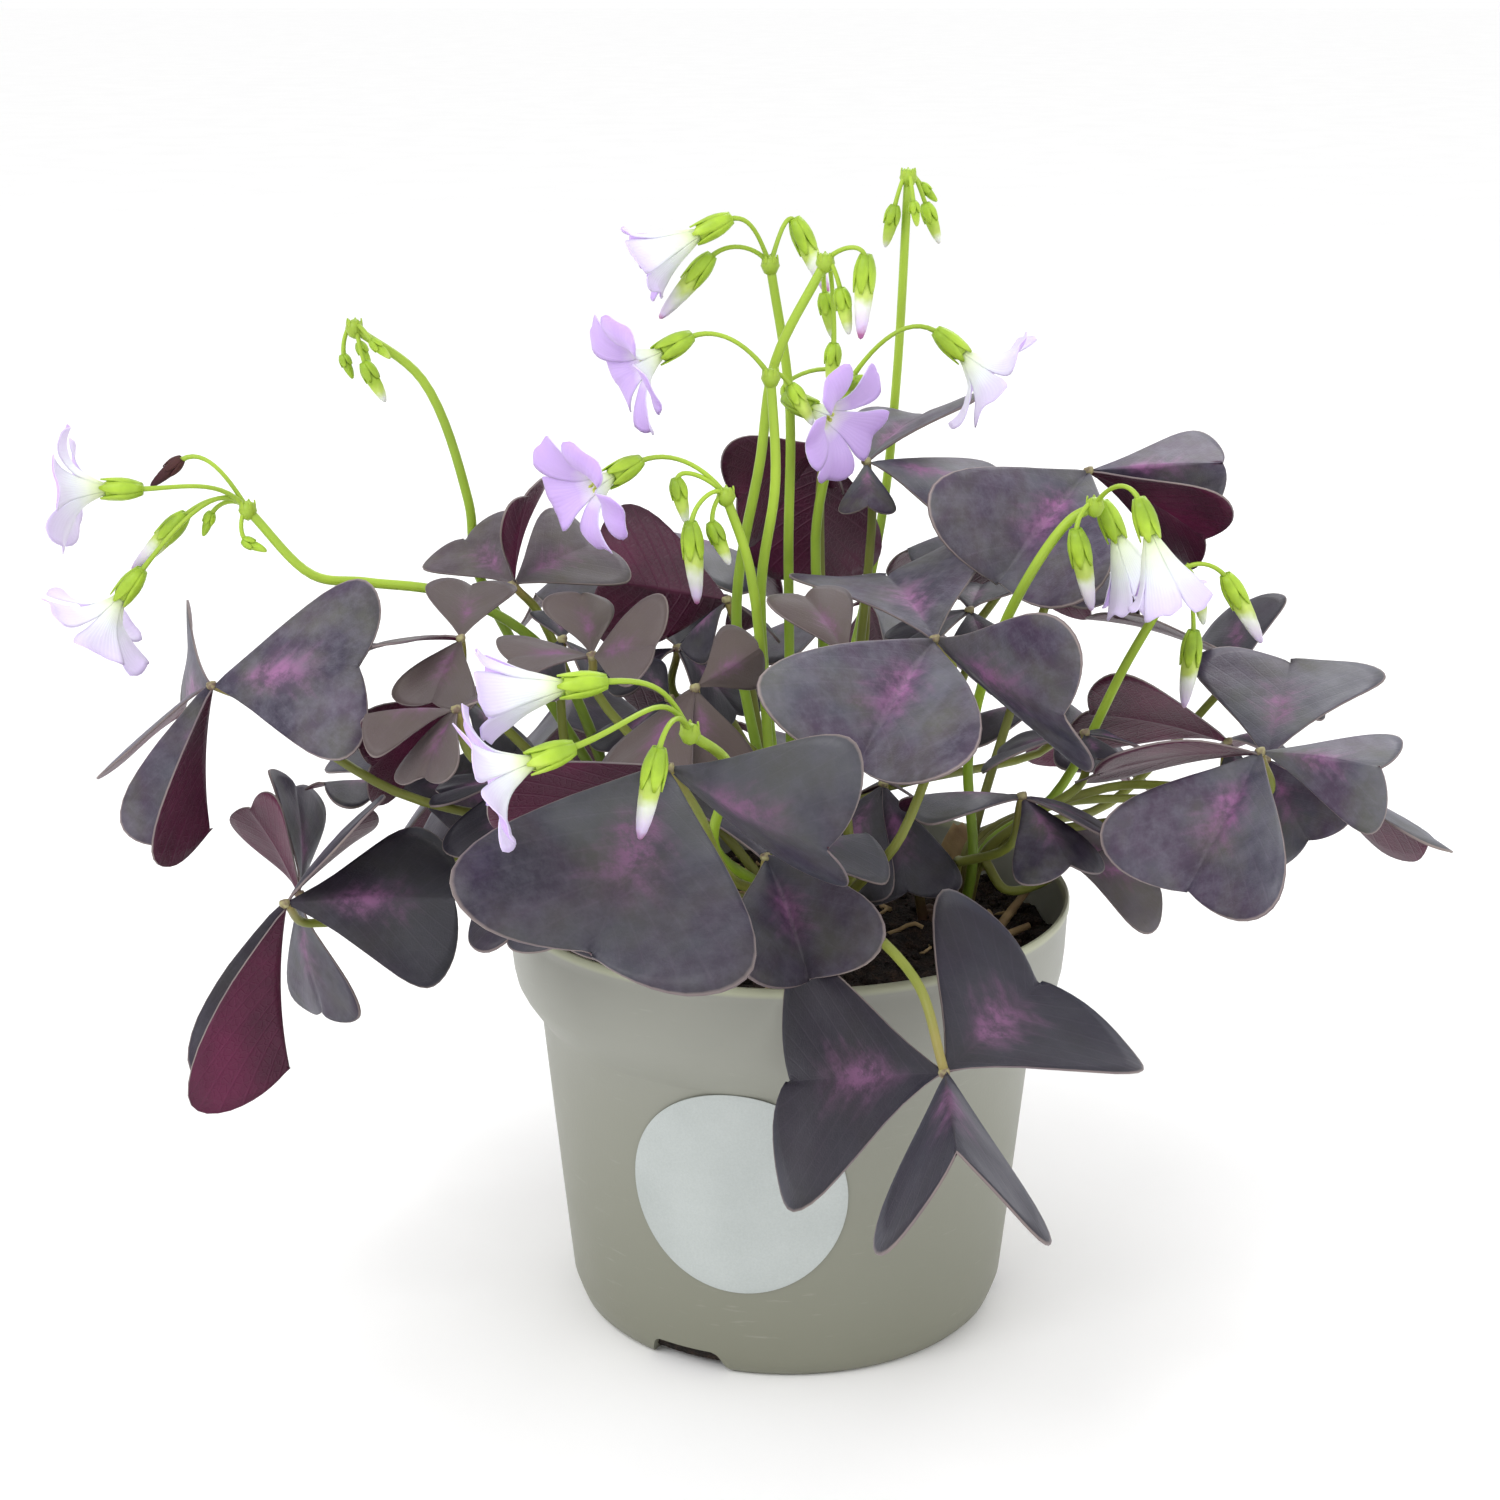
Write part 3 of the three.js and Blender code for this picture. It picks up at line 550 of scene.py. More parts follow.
# %% Coated label paper
def coated_paper():
    made, tree, here = finish("coated_label_paper", Roughness=0.55, IOR=1.5)
    fibre = clouds(tree, here, 2500.0, 3.0)
    paper = toned(tree, clouds(tree, here, 60.0), [(0.3, "#a9afad"), (0.7, "#b3b9b7")])
    worn = add(tree, "MixRGB", {"Fac": 0.12, "Color1": paper, "Color2": fibre}, blend_type="OVERLAY")
    return dressed(made, worn.outputs["Color"], fibre, 0.15, 0.0001)


piece("label_sticker", label_shape(), [coated_paper()], "label_paper", "label", crease=40)

# %% [markdown]
# ## The soil
#
# Peat-based potting soil is nearly black, and its surface is a crust of crumbs from 1 to 4 mm with
# straw, one dry leaf bit and four old stalks. Crumbs could be bump alone, but their outline shows
# at the rim, so the bed is a waved disc and the crumbs are small lumps pressed into it.

# %% Soil bed
SOIL_LEVEL = 81
GAP = 0.3
CROWNS = {"front": (4, -24), "right": (34, 5), "back": (4, 26), "left": (-26, 2)}
SOIL_RINGS = 30
SOIL_STEPS = 120


def crumble(x, y):
    """Height of the soil's top above its level: a low mound with soft lumps."""
    mound = 3 * (1 - math.hypot(x, y) / RIM_RADIUS)
    waves = 1.1 * math.sin(x * 0.21 + 1.3) * math.cos(y * 0.24) + 0.7 * math.sin(x * 0.5 - y * 0.43)
    grain = noise.noise(Vector((x * 0.35, y * 0.35, 2.0))) + 0.6 * noise.noise(Vector((x, y, 7.0)))
    return mound + waves + 0.9 * grain


def soil_bed():
    """The filling: rings grow inward over the top and a wall runs down inside the pot."""
    made = blank()
    edge = inner_radius(SOIL_LEVEL, GAP)
    bmesh.ops.create_circle(made, cap_ends=False, segments=SOIL_STEPS, radius=edge)
    rim = made.edges[:]
    grown = rim
    for i in range(1, SOIL_RINGS):
        ring, grown = points_and_edges(bmesh.ops.extrude_edge_only(made, edges=grown)["geom"])
        share = (SOIL_RINGS - i) / (SOIL_RINGS - i + 1)
        bmesh.ops.scale(made, vec=(share, share, 1), verts=ring)
    bmesh.ops.contextual_create(made, geom=grown)
    for vert in made.verts:
        vert.co.z = SOIL_LEVEL + crumble(vert.co.x, vert.co.y)
    for height in (*INNER_HEIGHTS, FLOOR_HEIGHT + GAP):
        radius = inner_radius(height, 2 * GAP)
        ring, rim = points_and_edges(bmesh.ops.extrude_edge_only(made, edges=rim)["geom"])
        for vert in ring:
            vert.co = (vert.co.xy.normalized() * radius).to_3d() + Vector((0, 0, height))
    bmesh.ops.contextual_create(made, geom=rim)
    return outward(made)


# %% Crumbs and plant litter
CRUMBS = 900
STRAWS = 60
STRAW_LIMIT = 54
CRUMB_SEED = 11
STRAW_SEED = 5

# Thick old stalks that lean on the pot's rim: the places from foot to tip.
OLD_STALKS = [[(43, -5, 82), (48, 0, 87), (53, 4, 92)], [(38, -14, 82), (44, -12, 85), (51, -9, 87)],
              [(30, -30, 82), (36, -31, 85), (43, -31, 87)], [(-20, -34, 82), (-27, -36, 84), (-36, -36, 85)]]
DRY_LEAF_PLACE = (38, 22, 99)


def soil_crumbs():
    """Small lumps of peat, pressed a third of their size into the bed."""
    rng = random.Random(CRUMB_SEED)
    made = blank()
    for _ in range(CRUMBS):
        size = 0.5 + 1.5 * rng.random() ** 3
        reach = inner_radius(SOIL_LEVEL, GAP) * math.sqrt(rng.random()) - size
        bearing = rng.uniform(0, 2 * math.pi)
        x, y = max(reach, 0) * math.cos(bearing), max(reach, 0) * math.sin(bearing)
        lump = blank()
        bmesh.ops.create_icosphere(lump, subdivisions=1, radius=size)
        for vert in lump.verts:
            vert.co *= 1 + 0.35 * noise.noise(vert.co * 0.9 + Vector((x, y, 0)))
            vert.co.z *= 0.75
        spot = Vector((x, y, SOIL_LEVEL + crumble(x, y) + size * 0.3))
        gather(made, stand(lump, spot, Vector((rng.random() - 0.5, rng.random() - 0.5, 1))))
    return made


def soil_litter():
    """Straw-like bits of old stalk, lying on the bed at any bearing."""
    rng = random.Random(STRAW_SEED)
    made = blank()
    for _ in range(STRAWS):
        length = rng.uniform(4, 15)
        reach = rng.uniform(12, 52)
        bearing = rng.uniform(0, 2 * math.pi)
        turn = rng.uniform(0, 2 * math.pi)
        middle = Vector((reach * math.cos(bearing), reach * math.sin(bearing), 0))
        way = Vector((math.cos(turn), math.sin(turn), 0))
        side = Vector((-way.y, way.x, 0)) * rng.uniform(-1.5, 1.5)
        places = []
        for i in range(6):
            share = i / 5 - 0.5
            spot = middle + way * length * share + side * (1 - 4 * share * share)
            if spot.xy.length > STRAW_LIMIT:
                spot *= STRAW_LIMIT / spot.xy.length
            spot.z = SOIL_LEVEL + crumble(spot.x, spot.y) + 0.5
            places.append(spot)
        width = rng.uniform(0.3, 0.7)
        gather(made, carried(places, [width] * 5 + [width * 0.5], 6))
    for places in OLD_STALKS:
        gather(made, carried([Vector(place) for place in places], [1.2, 1.0, 0.7], 10))
    return made


def dry_leaf():
    """A dead tan leaflet that hangs curled between the stalks."""
    made = blank()
    bmesh.ops.create_grid(made, x_segments=12, y_segments=10, size=0.5)
    for vert in made.verts:
        u, v = vert.co.x + 0.5, 2 * vert.co.y
        half = 1.0 + 4.2 * math.sin(math.pi * min(0.7 * u, 0.5))
        curl = 2.0 * v * v - 1.5 * math.sin(2.6 * u) + 0.5 * math.sin(5 * u + 3 * v)
        vert.co = Vector((half * v + 1.5 * u, curl, -11 * u))
        vert[made.verts.layers.float_vector["down"]] = Vector((0, 0.3, 0))
    bmesh.ops.translate(made, vec=DRY_LEAF_PLACE, verts=made.verts)
    return paint(thickened(made, 0), 0)


# %% [markdown]
# ## The soil's finish
#
# Moist peat is near black with a brown cast, rough at 0.95 and with hardly any gloss. Its crumbs of
# about 2 mm come from one noise and its grains of about 0.7 mm from another. Dry straw is tan, a
# little smoother, and blotched every centimetre or so.

# %% Peat and dry straw
def moist_peat():
    made, tree, here = finish("moist_peat", Roughness=0.95, IOR=1.4)
    crumb = clouds(tree, here, 480.0, 6.0)
    grain = add(tree, "TexVoronoi", {"Vector": here, "Scale": 1500.0}).outputs["Distance"]
    tone = toned(tree, crumb, [
        (0.25, "#100c0a"), (0.75, "#4a382c"), (0.45, "#1f1713"), (0.6, "#30241d")])
    return dressed(made, tone, reckon(tree, "ADD", crumb, grain), 0.8, 0.0008)


def dry_straw():
    made, tree, here = finish("dry_straw", Roughness=0.7, IOR=1.45)
    tone = toned(tree, clouds(tree, here, 90.0, 3.0), [
        (0.3, "#7a6244"), (0.7, "#cdb78c"), (0.5, "#a88f66")])
    return dressed(made, tone, clouds(tree, here, 1800.0), 0.4, 0.0003)


peat = moist_peat()
straw = dry_straw()
piece("soil_bed", soil_bed(), [peat], "soil", "soil")
piece("soil_crumbs", soil_crumbs(), [peat], "soil")
piece("soil_litter", soil_litter(), [straw], "soil")
piece("soil_dry_leaf", dry_leaf(), [straw], "soil")

# %% [markdown]
# ## How a leaf grows
#
# Each leaf has three leaflets on one knob. A leaflet is broad at its tip with a shallow notch,
# and folds along its rib. It is made from a flat grid: one way of the grid runs along the rib, the
# other from the rib to the margin, so the grid's lines lie where the side veins of a real leaflet
# lie, and the same two numbers later guide the veins' pattern.

# %% Leaf table
LEAVES = {
    "front_drooping": {"crown": "front", "knob": (27, -99, 92), "via": (12, -62, 108), "near": (23, -88, 104),
     "leaflets": [(146, -15, -65, 0, 41), (55, 12, 35, -5, 43), (268, 15, 5, 52, 41)]},
    "front_broad": {"crown": "front", "knob": (-23, -74, 142), "via": (-12, -50, 112),
     "leaflets": [(256, -18, -18, -15, 47), (320, -20, 105, 28, 35), (187, -14, 50, 0, 32)]},
    "front_inner": {"crown": "front", "knob": (-5, -46, 115),
     "leaflets": [(286, -21, 9, -39, 31), (117, 28, 27, 10, 24), (25, 15, 0, 30, 22)]},
    "middle_high": {"crown": "front", "knob": (29, -22, 153), "via": (22, -36, 116),
     "leaflets": [(247, -13, -15, -30, 42), (105, 18, -8, -10, 36), (302, -18, 113, 16, 36)]},
    "left_high": {"crown": "left", "knob": (-119, -10, 140), "via": (-82, -10, 117),
     "leaflets": [(335, 18, 52, 5, 34), (212, -75, 0, -55, 31), (120, -17, -54, -24, 40)]},
    "left_low": {"crown": "left", "knob": (-102, -34, 101), "via": (-60, -12, 97), "near": (-99, -24, 93),
     "leaflets": [(10, 0, 62, 35, 35), (195, -78, 0, -65, 36), (50, 45, -45, 10, 26)]},
    "left_under": {"crown": "left", "knob": (-105, 2, 90), "via": (-60, 24, 98), "near": (-96, 3, 84),
     "leaflets": [(136, 60, 80, 0, 21), (80, 60, 85, 0, 24), (275, -75, 60, 5, 26)]},
    "left_shaded": {"crown": "left", "knob": (-85, 12, 112), "via": (-48, 22, 104), "near": (-77, 20, 106),
     "leaflets": [(215, 20, 0, 20, 17), (100, 20, 0, 30, 28), (0, -5, 60, 30, 30)]},
    "left_top": {"crown": "left", "knob": (-58, 8, 157),
     "leaflets": [(136, 30, -30, 0, 19), (35, 24, 30, 0, 22), (270, 85, 75, 0, 20)]},
    "right_broad": {"crown": "right", "knob": (97, -14, 127),
     "leaflets": [(235, -30, -17, -29, 36), (318, 8, 55, 45, 26), (180, 3, 26, 0, 34)]},
    "right_under": {"crown": "right", "knob": (101, 0, 121), "via": (70, 18, 109), "near": (94, 4, 114),
     "leaflets": [(355, -14, -21, 14, 38), (290, -40, 55, 0, 20), (72, 32, 0, 0, 35)]},
    "right_top": {"crown": "right", "knob": (65, 30, 177),
     "leaflets": [(239, -17, -27, -35, 41), (350, 7, 71, 57, 29), (355, -20, -38, 0, 29)]},
    "right_inner": {"crown": "right", "knob": (48, -16, 118), "via": (37, -8, 101),
     "leaflets": [(185, 12, 10, 20, 23), (300, -20, 0, 20, 20), (350, -12, -12, 0, 20)]},
    "right_low": {"crown": "right", "knob": (60, 0, 98), "via": (46, -3, 93), "near": (55, 4, 92),
     "leaflets": [(352, -8, 42, 0, 20), (40, 10, 10, 0, 18), (215, 20, 30, 0, 10)]},
    "right_back": {"crown": "right", "knob": (103, 46, 129), "via": (74, 44, 97), "near": (98, 51, 120),
     "leaflets": [(95, 35, -40, 20, 21), (180, 32, 17, 0, 32), (20, -10, 0, 30, 20)]},
    "middle_low": {"crown": "right", "knob": (20, -4, 117), "near": (21, 0, 108),
     "leaflets": [(290, -45, 0, 15, 24), (225, -35, 0, 15, 24), (85, -5, 0, 30, 14)]},
    "young_middle": {"crown": "front", "knob": (-40, -20, 149),
     "leaflets": [(196, 12, -10, 0, 17), (102, 59, 14, 20, 14), (311, 23, 51, -11, 18)]},
    "young_left": {"crown": "front", "knob": (-66, -35, 142),
     "leaflets": [(236, -34, 16, 0, 16), (30, 20, -10, 0, 11), (190, 10, 0, 40, 18)]},
    "young_top_left": {"crown": "left", "knob": (-67, -14, 151),
     "leaflets": [(245, -30, 0, 0, 16), (85, 40, 0, 0, 16), (190, 8, 15, 0, 17)]},
    "young_centre": {"crown": "front", "knob": (-19, -30, 145), "via": (-4, -12, 122),
     "leaflets": [(20, 26, 72, 41, 16), (285, -45, 0, 10, 18), (220, -35, 0, 10, 24)]},
    "young_right": {"crown": "front", "knob": (11, -28, 151),
     "leaflets": [(125, 45, 0, 0, 17), (60, 10, 0, 30, 14), (300, -20, 0, 30, 14)]},
    "back_top": {"crown": "back", "knob": (17, 30, 179),
     "leaflets": [(59, 25, -13, -9, 26), (350, -2, 14, 10, 28), (270, -30, 0, 30, 12)]},
    "back_left_top": {"crown": "back", "knob": (-13, 15, 152), "near": (-10, 16, 143),
     "leaflets": [(142, 0, 98, -33, 32), (50, -20, 0, 30, 14), (200, -30, 0, 30, 14)]},
    "back_centre": {"crown": "back", "knob": (8, 38, 181), "near": (7, 31, 171),
     "leaflets": [(94, -65, 0, -38, 32), (200, -20, 70, 0, 24), (20, -60, 0, 10, 10)]},
    "right_behind": {"crown": "right", "knob": (98, 30, 116), "via": (60, 22, 104),
     "leaflets": [(175, 20, 45, 0, 32), (60, 0, 0, 30, 24), (290, -40, 0, 30, 20)]},
    "left_inner": {"crown": "left", "knob": (-69, 7, 132),
     "leaflets": [(205, -20, 60, 0, 25), (100, 0, 0, 20, 22), (330, -20, 0, 20, 16)]},
    "front_low": {"crown": "front", "knob": (-40, -46, 112),
     "leaflets": [(255, -15, 0, 15, 20), (180, -10, 0, 20, 24), (60, -10, 0, 20, 20)]},
    "shade_left": {"crown": "left", "knob": (-25, 1, 134),
     "leaflets": [(205, -25, 0, 0, 17), (262, -60, 0, 0, 20), (135, 35, 0, 0, 12)]},
    "shade_right": {"crown": "right", "knob": (62, -4, 128), "via": (50, -2, 108),
     "leaflets": [(160, -10, 0, 0, 20), (285, -15, 0, 0, 8), (25, -10, 0, 0, 15)]},
    "shade_front": {"crown": "left", "knob": (-57, -12, 120), "via": (-45, -8, 100),
     "leaflets": [(250, -30, 0, 0, 18), (345, -20, 0, 0, 14), (180, 0, 0, 0, 16)]},
    "shade_back": {"crown": "back", "knob": (40, 30, 146), "via": (30, 30, 112),
     "leaflets": [(200, -10, 0, 0, 17), (285, -20, 0, 0, 13), (75, 20, 0, 0, 15)]},
    "shade_under": {"crown": "back", "knob": (-24, 28, 138), "via": (-12, 28, 112),
     "leaflets": [(205, -10, 0, 0, 18), (330, -30, 0, 0, 20), (100, 20, 0, 0, 26)]},
    "shade_top": {"crown": "left", "knob": (-47, -3, 148), "via": (-46, -2, 120),
     "leaflets": [(235, -30, 0, 0, 14), (340, -30, 0, 0, 10), (100, 30, 0, 0, 10)]},
}


BACK_DROOP = 15
BACK_FOLD = 25


def spread(facing, tilt, turn, size):
    """Three even leaflets of a leaf at the back, tilted towards a bearing."""
    made = []
    for step in (0, 120, 240):
        swing = math.radians(turn + step - facing)
        rise = -BACK_DROOP - tilt * math.cos(swing)
        made.append((turn + step, rise, tilt * math.sin(swing), BACK_FOLD, size))
    return made


# Each leaf at the back: its knob, the bearing it faces, its tilt, its turn and its leaflets' length.
BACK_LEAVES = {
    "back_a": ((66, 72, 114), 50, 20, 60, 27),
    "back_b": ((20, 88, 134), 80, 25, 75, 34),
    "back_c": ((-12, 92, 102), 95, 35, 95, 29),
    "back_d": ((-46, 80, 118), 120, 25, 140, 33),
    "back_e": ((56, 70, 158), 55, 20, 80, 31),
    "back_f": ((-34, 70, 156), 115, 20, 100, 33),
    "back_g": ((-76, 60, 102), 140, 30, 160, 32),
}
for name, (knob, facing, tilt, turn, size) in BACK_LEAVES.items():
    crown = "left" if name == "back_g" else "back"
    LEAVES[name] = {"knob": knob, "crown": crown, "leaflets": spread(facing, tilt, turn, size)}
print(len(LEAVES), "leaves")

# %% The leaflet's outline
BLADE = 0.45
KNOB_RADIUS = 1.5
LEAFLET_ARCH = 0.35
MARGIN_CURVE = 1.35
WAVE = 0.022
RIPPLE = 0.008
RIB_DEPTH = 0.3
RIB_WIDTH = 0.9
ROWS = 22
COLUMNS = 16

# Half of the outline in leaflet lengths, from the knob round to the notch: along the rib, out.
HALF_OUTLINE = [(0, 0), (0.25, 0.17), (0.5, 0.37), (0.74, 0.54), (0.92, 0.6), (1.03, 0.55),
                (1.085, 0.42), (1.085, 0.26), (1.05, 0.11), (1.0, 0)]


def through(values, share):
    """A smooth value at a share of the way through a list of values."""
    last = len(values) - 1
    at = min(share * last, last - 1e-9)
    i = int(at)
    t = at - i
    p1, p2 = values[i], values[i + 1]
    p0 = values[i - 1] if i else p1
    p3 = values[i + 2] if i + 2 <= last else p2
    return 0.5 * (2 * p1 + (p2 - p0) * t + (2 * p0 - 5 * p1 + 4 * p2 - p3) * t ** 2
                  + (3 * p1 - p0 - 3 * p2 + p3) * t ** 3)


def on_blade(u, v):
    """Where the grid's place u along the rib, v towards the margin lies, in leaflet lengths."""
    out = abs(v) ** MARGIN_CURVE
    a = u + (through([a for a, _ in HALF_OUTLINE], u) - u) * out
    return a, through([b for _, b in HALF_OUTLINE], u) * out * (1 if v > 0 else -1)


def leaflet_axes(bearing, rise, roll):
    """Directions of a leaflet: along its rib, across to its left, and up from its upper face."""
    b, e, r = math.radians(bearing), math.radians(rise), math.radians(roll)
    along = Vector((math.cos(e) * math.cos(b), math.cos(e) * math.sin(b), math.sin(e)))
    level = Vector((-math.sin(b), math.cos(b), 0))
    over = along.cross(level)
    return along, level * math.cos(r) + over * math.sin(r), over * math.cos(r) - level * math.sin(r)


# %% One leaflet
def leaflet(knob, sizes, youth_and_painted_shade, painted_light_share, seed):
    """A grid bent into a folded, arched and gently waved blade with a real thickness."""
    bearing, rise, roll, fold, size = sizes
    along, across, up = leaflet_axes(bearing, rise, roll)
    tilt = math.radians(fold)
    rng = random.Random(seed)
    phase = [rng.uniform(0, 2 * math.pi) for _ in range(3)]
    made = blank()
    bmesh.ops.create_grid(made, x_segments=ROWS, y_segments=COLUMNS, size=0.5)
    blade = made.loops.layers.uv["blade"]
    vein = made.loops.layers.uv["vein"]
    age_and_painted_shade = made.verts.layers.float["youth_and_painted_shade"]
    painted_light = made.verts.layers.float["painted_light"]
    down = made.verts.layers.float_vector["down"]
    for vert in made.verts:
        u, v = vert.co.x + 0.5, 2 * vert.co.y
        a, b = on_blade(u, v)
        # Each leaflet takes its own place in the patterns.
        for loop in vert.link_loops:
            loop[blade].uv = (a + 2 * (seed % 7), b + 2 * (seed % 5))
            loop[vein].uv = (u, v)
        # Each point keeps the leaf's age together with its painted shade, and its share of painted light.
        vert[age_and_painted_shade] = youth_and_painted_shade
        vert[painted_light] = painted_light_share
        arch = LEAFLET_ARCH * a
        normal = up * math.cos(arch) + along * math.sin(arch)
        out = abs(v)
        side = 1 if v > 0 else -1 if v < 0 else 0
        face_up = normal * math.cos(tilt) + across * side * math.sin(tilt) if side else normal
        wave = WAVE * size * out ** 2 * math.sin(7 * u + phase[0] + (2.2 if v > 0 else 0))
        wave += RIPPLE * size * out * math.sin(15 * u + phase[1] + 3 * v)
        rib = -RIB_DEPTH * math.exp(-((b * size) / RIB_WIDTH) ** 2)
        place = along * (size * math.sin(arch) / LEAFLET_ARCH)
        place -= up * (size * (1 - math.cos(arch)) / LEAFLET_ARCH)
        place += across * (size * b * math.cos(tilt))
        place += normal * (wave + rib - size * abs(b) * math.sin(tilt) + BLADE / 2)
        vert.co = Vector(knob) + place
        vert[down] = -face_up * BLADE
    bmesh.ops.remove_doubles(made, verts=made.verts, dist=0.02)
    return thickened(made, 2)


# %% [markdown]
# ## The leaf's finishes
#
# A fresh leaf is a thin velvety sheet: IOR 1.4, roughness about 0.5, and short hairs that give it
# a bluish sheen. Its upper face is slate violet with olive clouds and one rosy flush beside the
# rib. Eleven faint side veins leave the rib on each side, about 3.5 mm apart on a large leaflet, and
# a pale line runs along the margin. The vein map gives the place along the rib and towards the
# margin, so the flush and the veins follow the leaf's growth.

# %% Maps and veins of a blade
SIDE_VEINS = 11.0
NET_CELLS = 26.0


def leaf_maps(tree):
    """A blade's two flat maps, and the places along the rib and out from it in the second."""
    blade, vein = [add(tree, "UVMap", uv_map=name).outputs["UV"] for name in ("blade", "vein")]
    split = add(tree, "SeparateXYZ", {"Vector": vein}).outputs
    return blade, vein, split["X"], reckon(tree, "ABSOLUTE", split["Y"])


def vein_lines(tree, blade, along, out, vein_width, rib_width, net_strength):
    """Lines of the side veins and the rib, with a fainter net of cells between them."""
    tooth = reckon(tree, "PINGPONG", reckon(tree, "MULTIPLY", along, SIDE_VEINS), 0.5)
    veins = ranged(tree, tooth, 0.0, vein_width, 1.0, 0.0)
    rib = ranged(tree, out, 0.0, rib_width, 1.0, 0.0)
    cells = add(tree, "TexVoronoi", {"Vector": blade, "Scale": NET_CELLS}, feature="DISTANCE_TO_EDGE")
    net = ranged(tree, cells.outputs["Distance"], 0.0, 0.12, net_strength, 0.0)
    return reckon(tree, "MAXIMUM", reckon(tree, "MAXIMUM", veins, rib), net)


# %% Ground and flush of the upper face
def leaf_ground(tree, here, olive, dusty):
    """Violet and slate clouds of about 35 mm, olive patches, bloom, the leaf's age, and painted shade."""
    ground = toned(tree, clouds(tree, here, 28.0, 4.0), [
        (0.36, "#262130"), (0.64, "#525358"), (0.47, "#382c3d"), (0.55, "#3d3c46")])
    ground = mixed(tree, ranged(tree, olive, 0.44, 0.7, 0.0, 0.7), ground, "#4b4c42")
    ground = mixed(tree, ranged(tree, dusty, 0.42, 0.72, 0.0, 0.5), ground, "#5d5b66")
    age_and_painted_shade = add(tree, "Attribute", attribute_name="youth_and_painted_shade").outputs["Fac"]
    ground = mixed(tree, age_and_painted_shade, ground, "#5b4e49")
    # Painted shade: below zero the leaf's number darkens it towards near black, for leaves deep in the plant
    # or low down.
    return mixed(tree, ranged(tree, age_and_painted_shade, 0.0, -1.0, 0.0, 0.85), ground, "#17121f")


def leaf_flush(tree, vein, u, v, dusty):
    """How rosy a place is: most two fifths along the rib, feathered along the side veins."""
    combed = add(tree, "Mapping", {"Vector": vein, "Scale": (13, 3.0, 1)}).outputs["Vector"]
    ragged = ranged(tree, clouds(tree, combed, 1.0, 3.0), 0.3, 0.7, -0.12, 0.12)
    soft = {"interpolation_type": "SMOOTHSTEP"}
    flush = ranged(tree, u, 0.14, 0.4, **soft)
    for share in (
        ranged(tree, u, 0.42, 0.82, 1.0, 0.0, **soft),
        ranged(tree, reckon(tree, "ADD", v, ragged), 0.0, 0.46, 1.0, 0.0, **soft),
        ranged(tree, dusty, 0.4, 0.58, 0.2, 0.85),
    ):
        flush = reckon(tree, "MULTIPLY", flush, share)
    return flush


# %% Upper face
def velvety_leaf():
    made, tree, here = finish("velvety_leaf_upper_face", IOR=1.4, Sheen_Weight=0.08,
                              Sheen_Roughness=0.5, Sheen_Tint=linear("#aab4d8"))
    blade, vein, u, v = leaf_maps(tree)
    # Olive patches span two fifths of a leaflet, and the grey bloom lies in ragged 4 mm patches.
    olive = clouds(tree, blade, 2.6, 3.0)
    dusty = clouds(tree, here, 230.0, 8.0, Roughness=0.7)
    ground = leaf_ground(tree, here, olive, dusty)
    tinted = mixed(tree, leaf_flush(tree, vein, u, v, dusty), ground, "#7f5078")

    # The side veins curve forward on their way out.
    bent = reckon(tree, "MULTIPLY_ADD", reckon(tree, "MULTIPLY", v, v), -0.06, u)
    lines = vein_lines(tree, blade, bent, v, 0.11, 0.07, 0.4)
    veined = mixed(tree, reckon(tree, "MULTIPLY", lines, 0.04), tinted, "#7d6b80")
    hemmed = mixed(tree, ranged(tree, v, 0.982, 0.996, 0.0, 0.7), veined, "#8a7d7a")
    # Painted light: leaves that stand most in the light are made up to 1.65 times brighter.
    painted_light_share = add(tree, "Attribute", attribute_name="painted_light").outputs["Fac"]
    light = ranged(tree, painted_light_share, 0.0, 1.0, 1.0, 1.65)
    with_painted_light = add(tree, "HueSaturation", {"Value": light, "Color": hemmed}).outputs["Color"]
    relief = reckon(tree, "MULTIPLY_ADD", lines, -0.6, clouds(tree, here, 2600.0))
    dull = ranged(tree, olive, 0.3, 0.7, 0.42, 0.58)
    return dressed(made, with_painted_light, relief, 0.16, 0.0003, roughness=dull)


# %% Underside, margin and knob
def wine_underside():
    made, tree, here = finish("wine_red_leaf_underside", Roughness=0.45, IOR=1.42,
                              Sheen_Weight=0.03, Sheen_Tint=linear("#d8a0c0"))
    blade, _, u, v = leaf_maps(tree)
    ground = toned(tree, clouds(tree, here, 40.0, 4.0), [
        (0.3, "#30061d"), (0.7, "#5c0f3a"), (0.5, "#430a2a")])
    lines = vein_lines(tree, blade, u, v, 0.12, 0.1, 0.45)
    veined = mixed(tree, reckon(tree, "MULTIPLY", lines, 0.1), ground, "#7c2a58")
    return dressed(made, veined, lines, 0.35, 0.0004)


margin = mottled("pale_leaf_margin", 60.0, 2.0, [(0.3, "#675a60"), (0.7, "#857874")],
                 Roughness=0.5, IOR=1.42)
hinge = mottled("cream_leaf_knob", 700.0, 2.0, [(0.35, "#6d5a4c"), (0.65, "#a09a6c")],
                Roughness=0.5, IOR=1.42)
leaf_finishes = [velvety_leaf(), wine_underside(), margin, hinge]
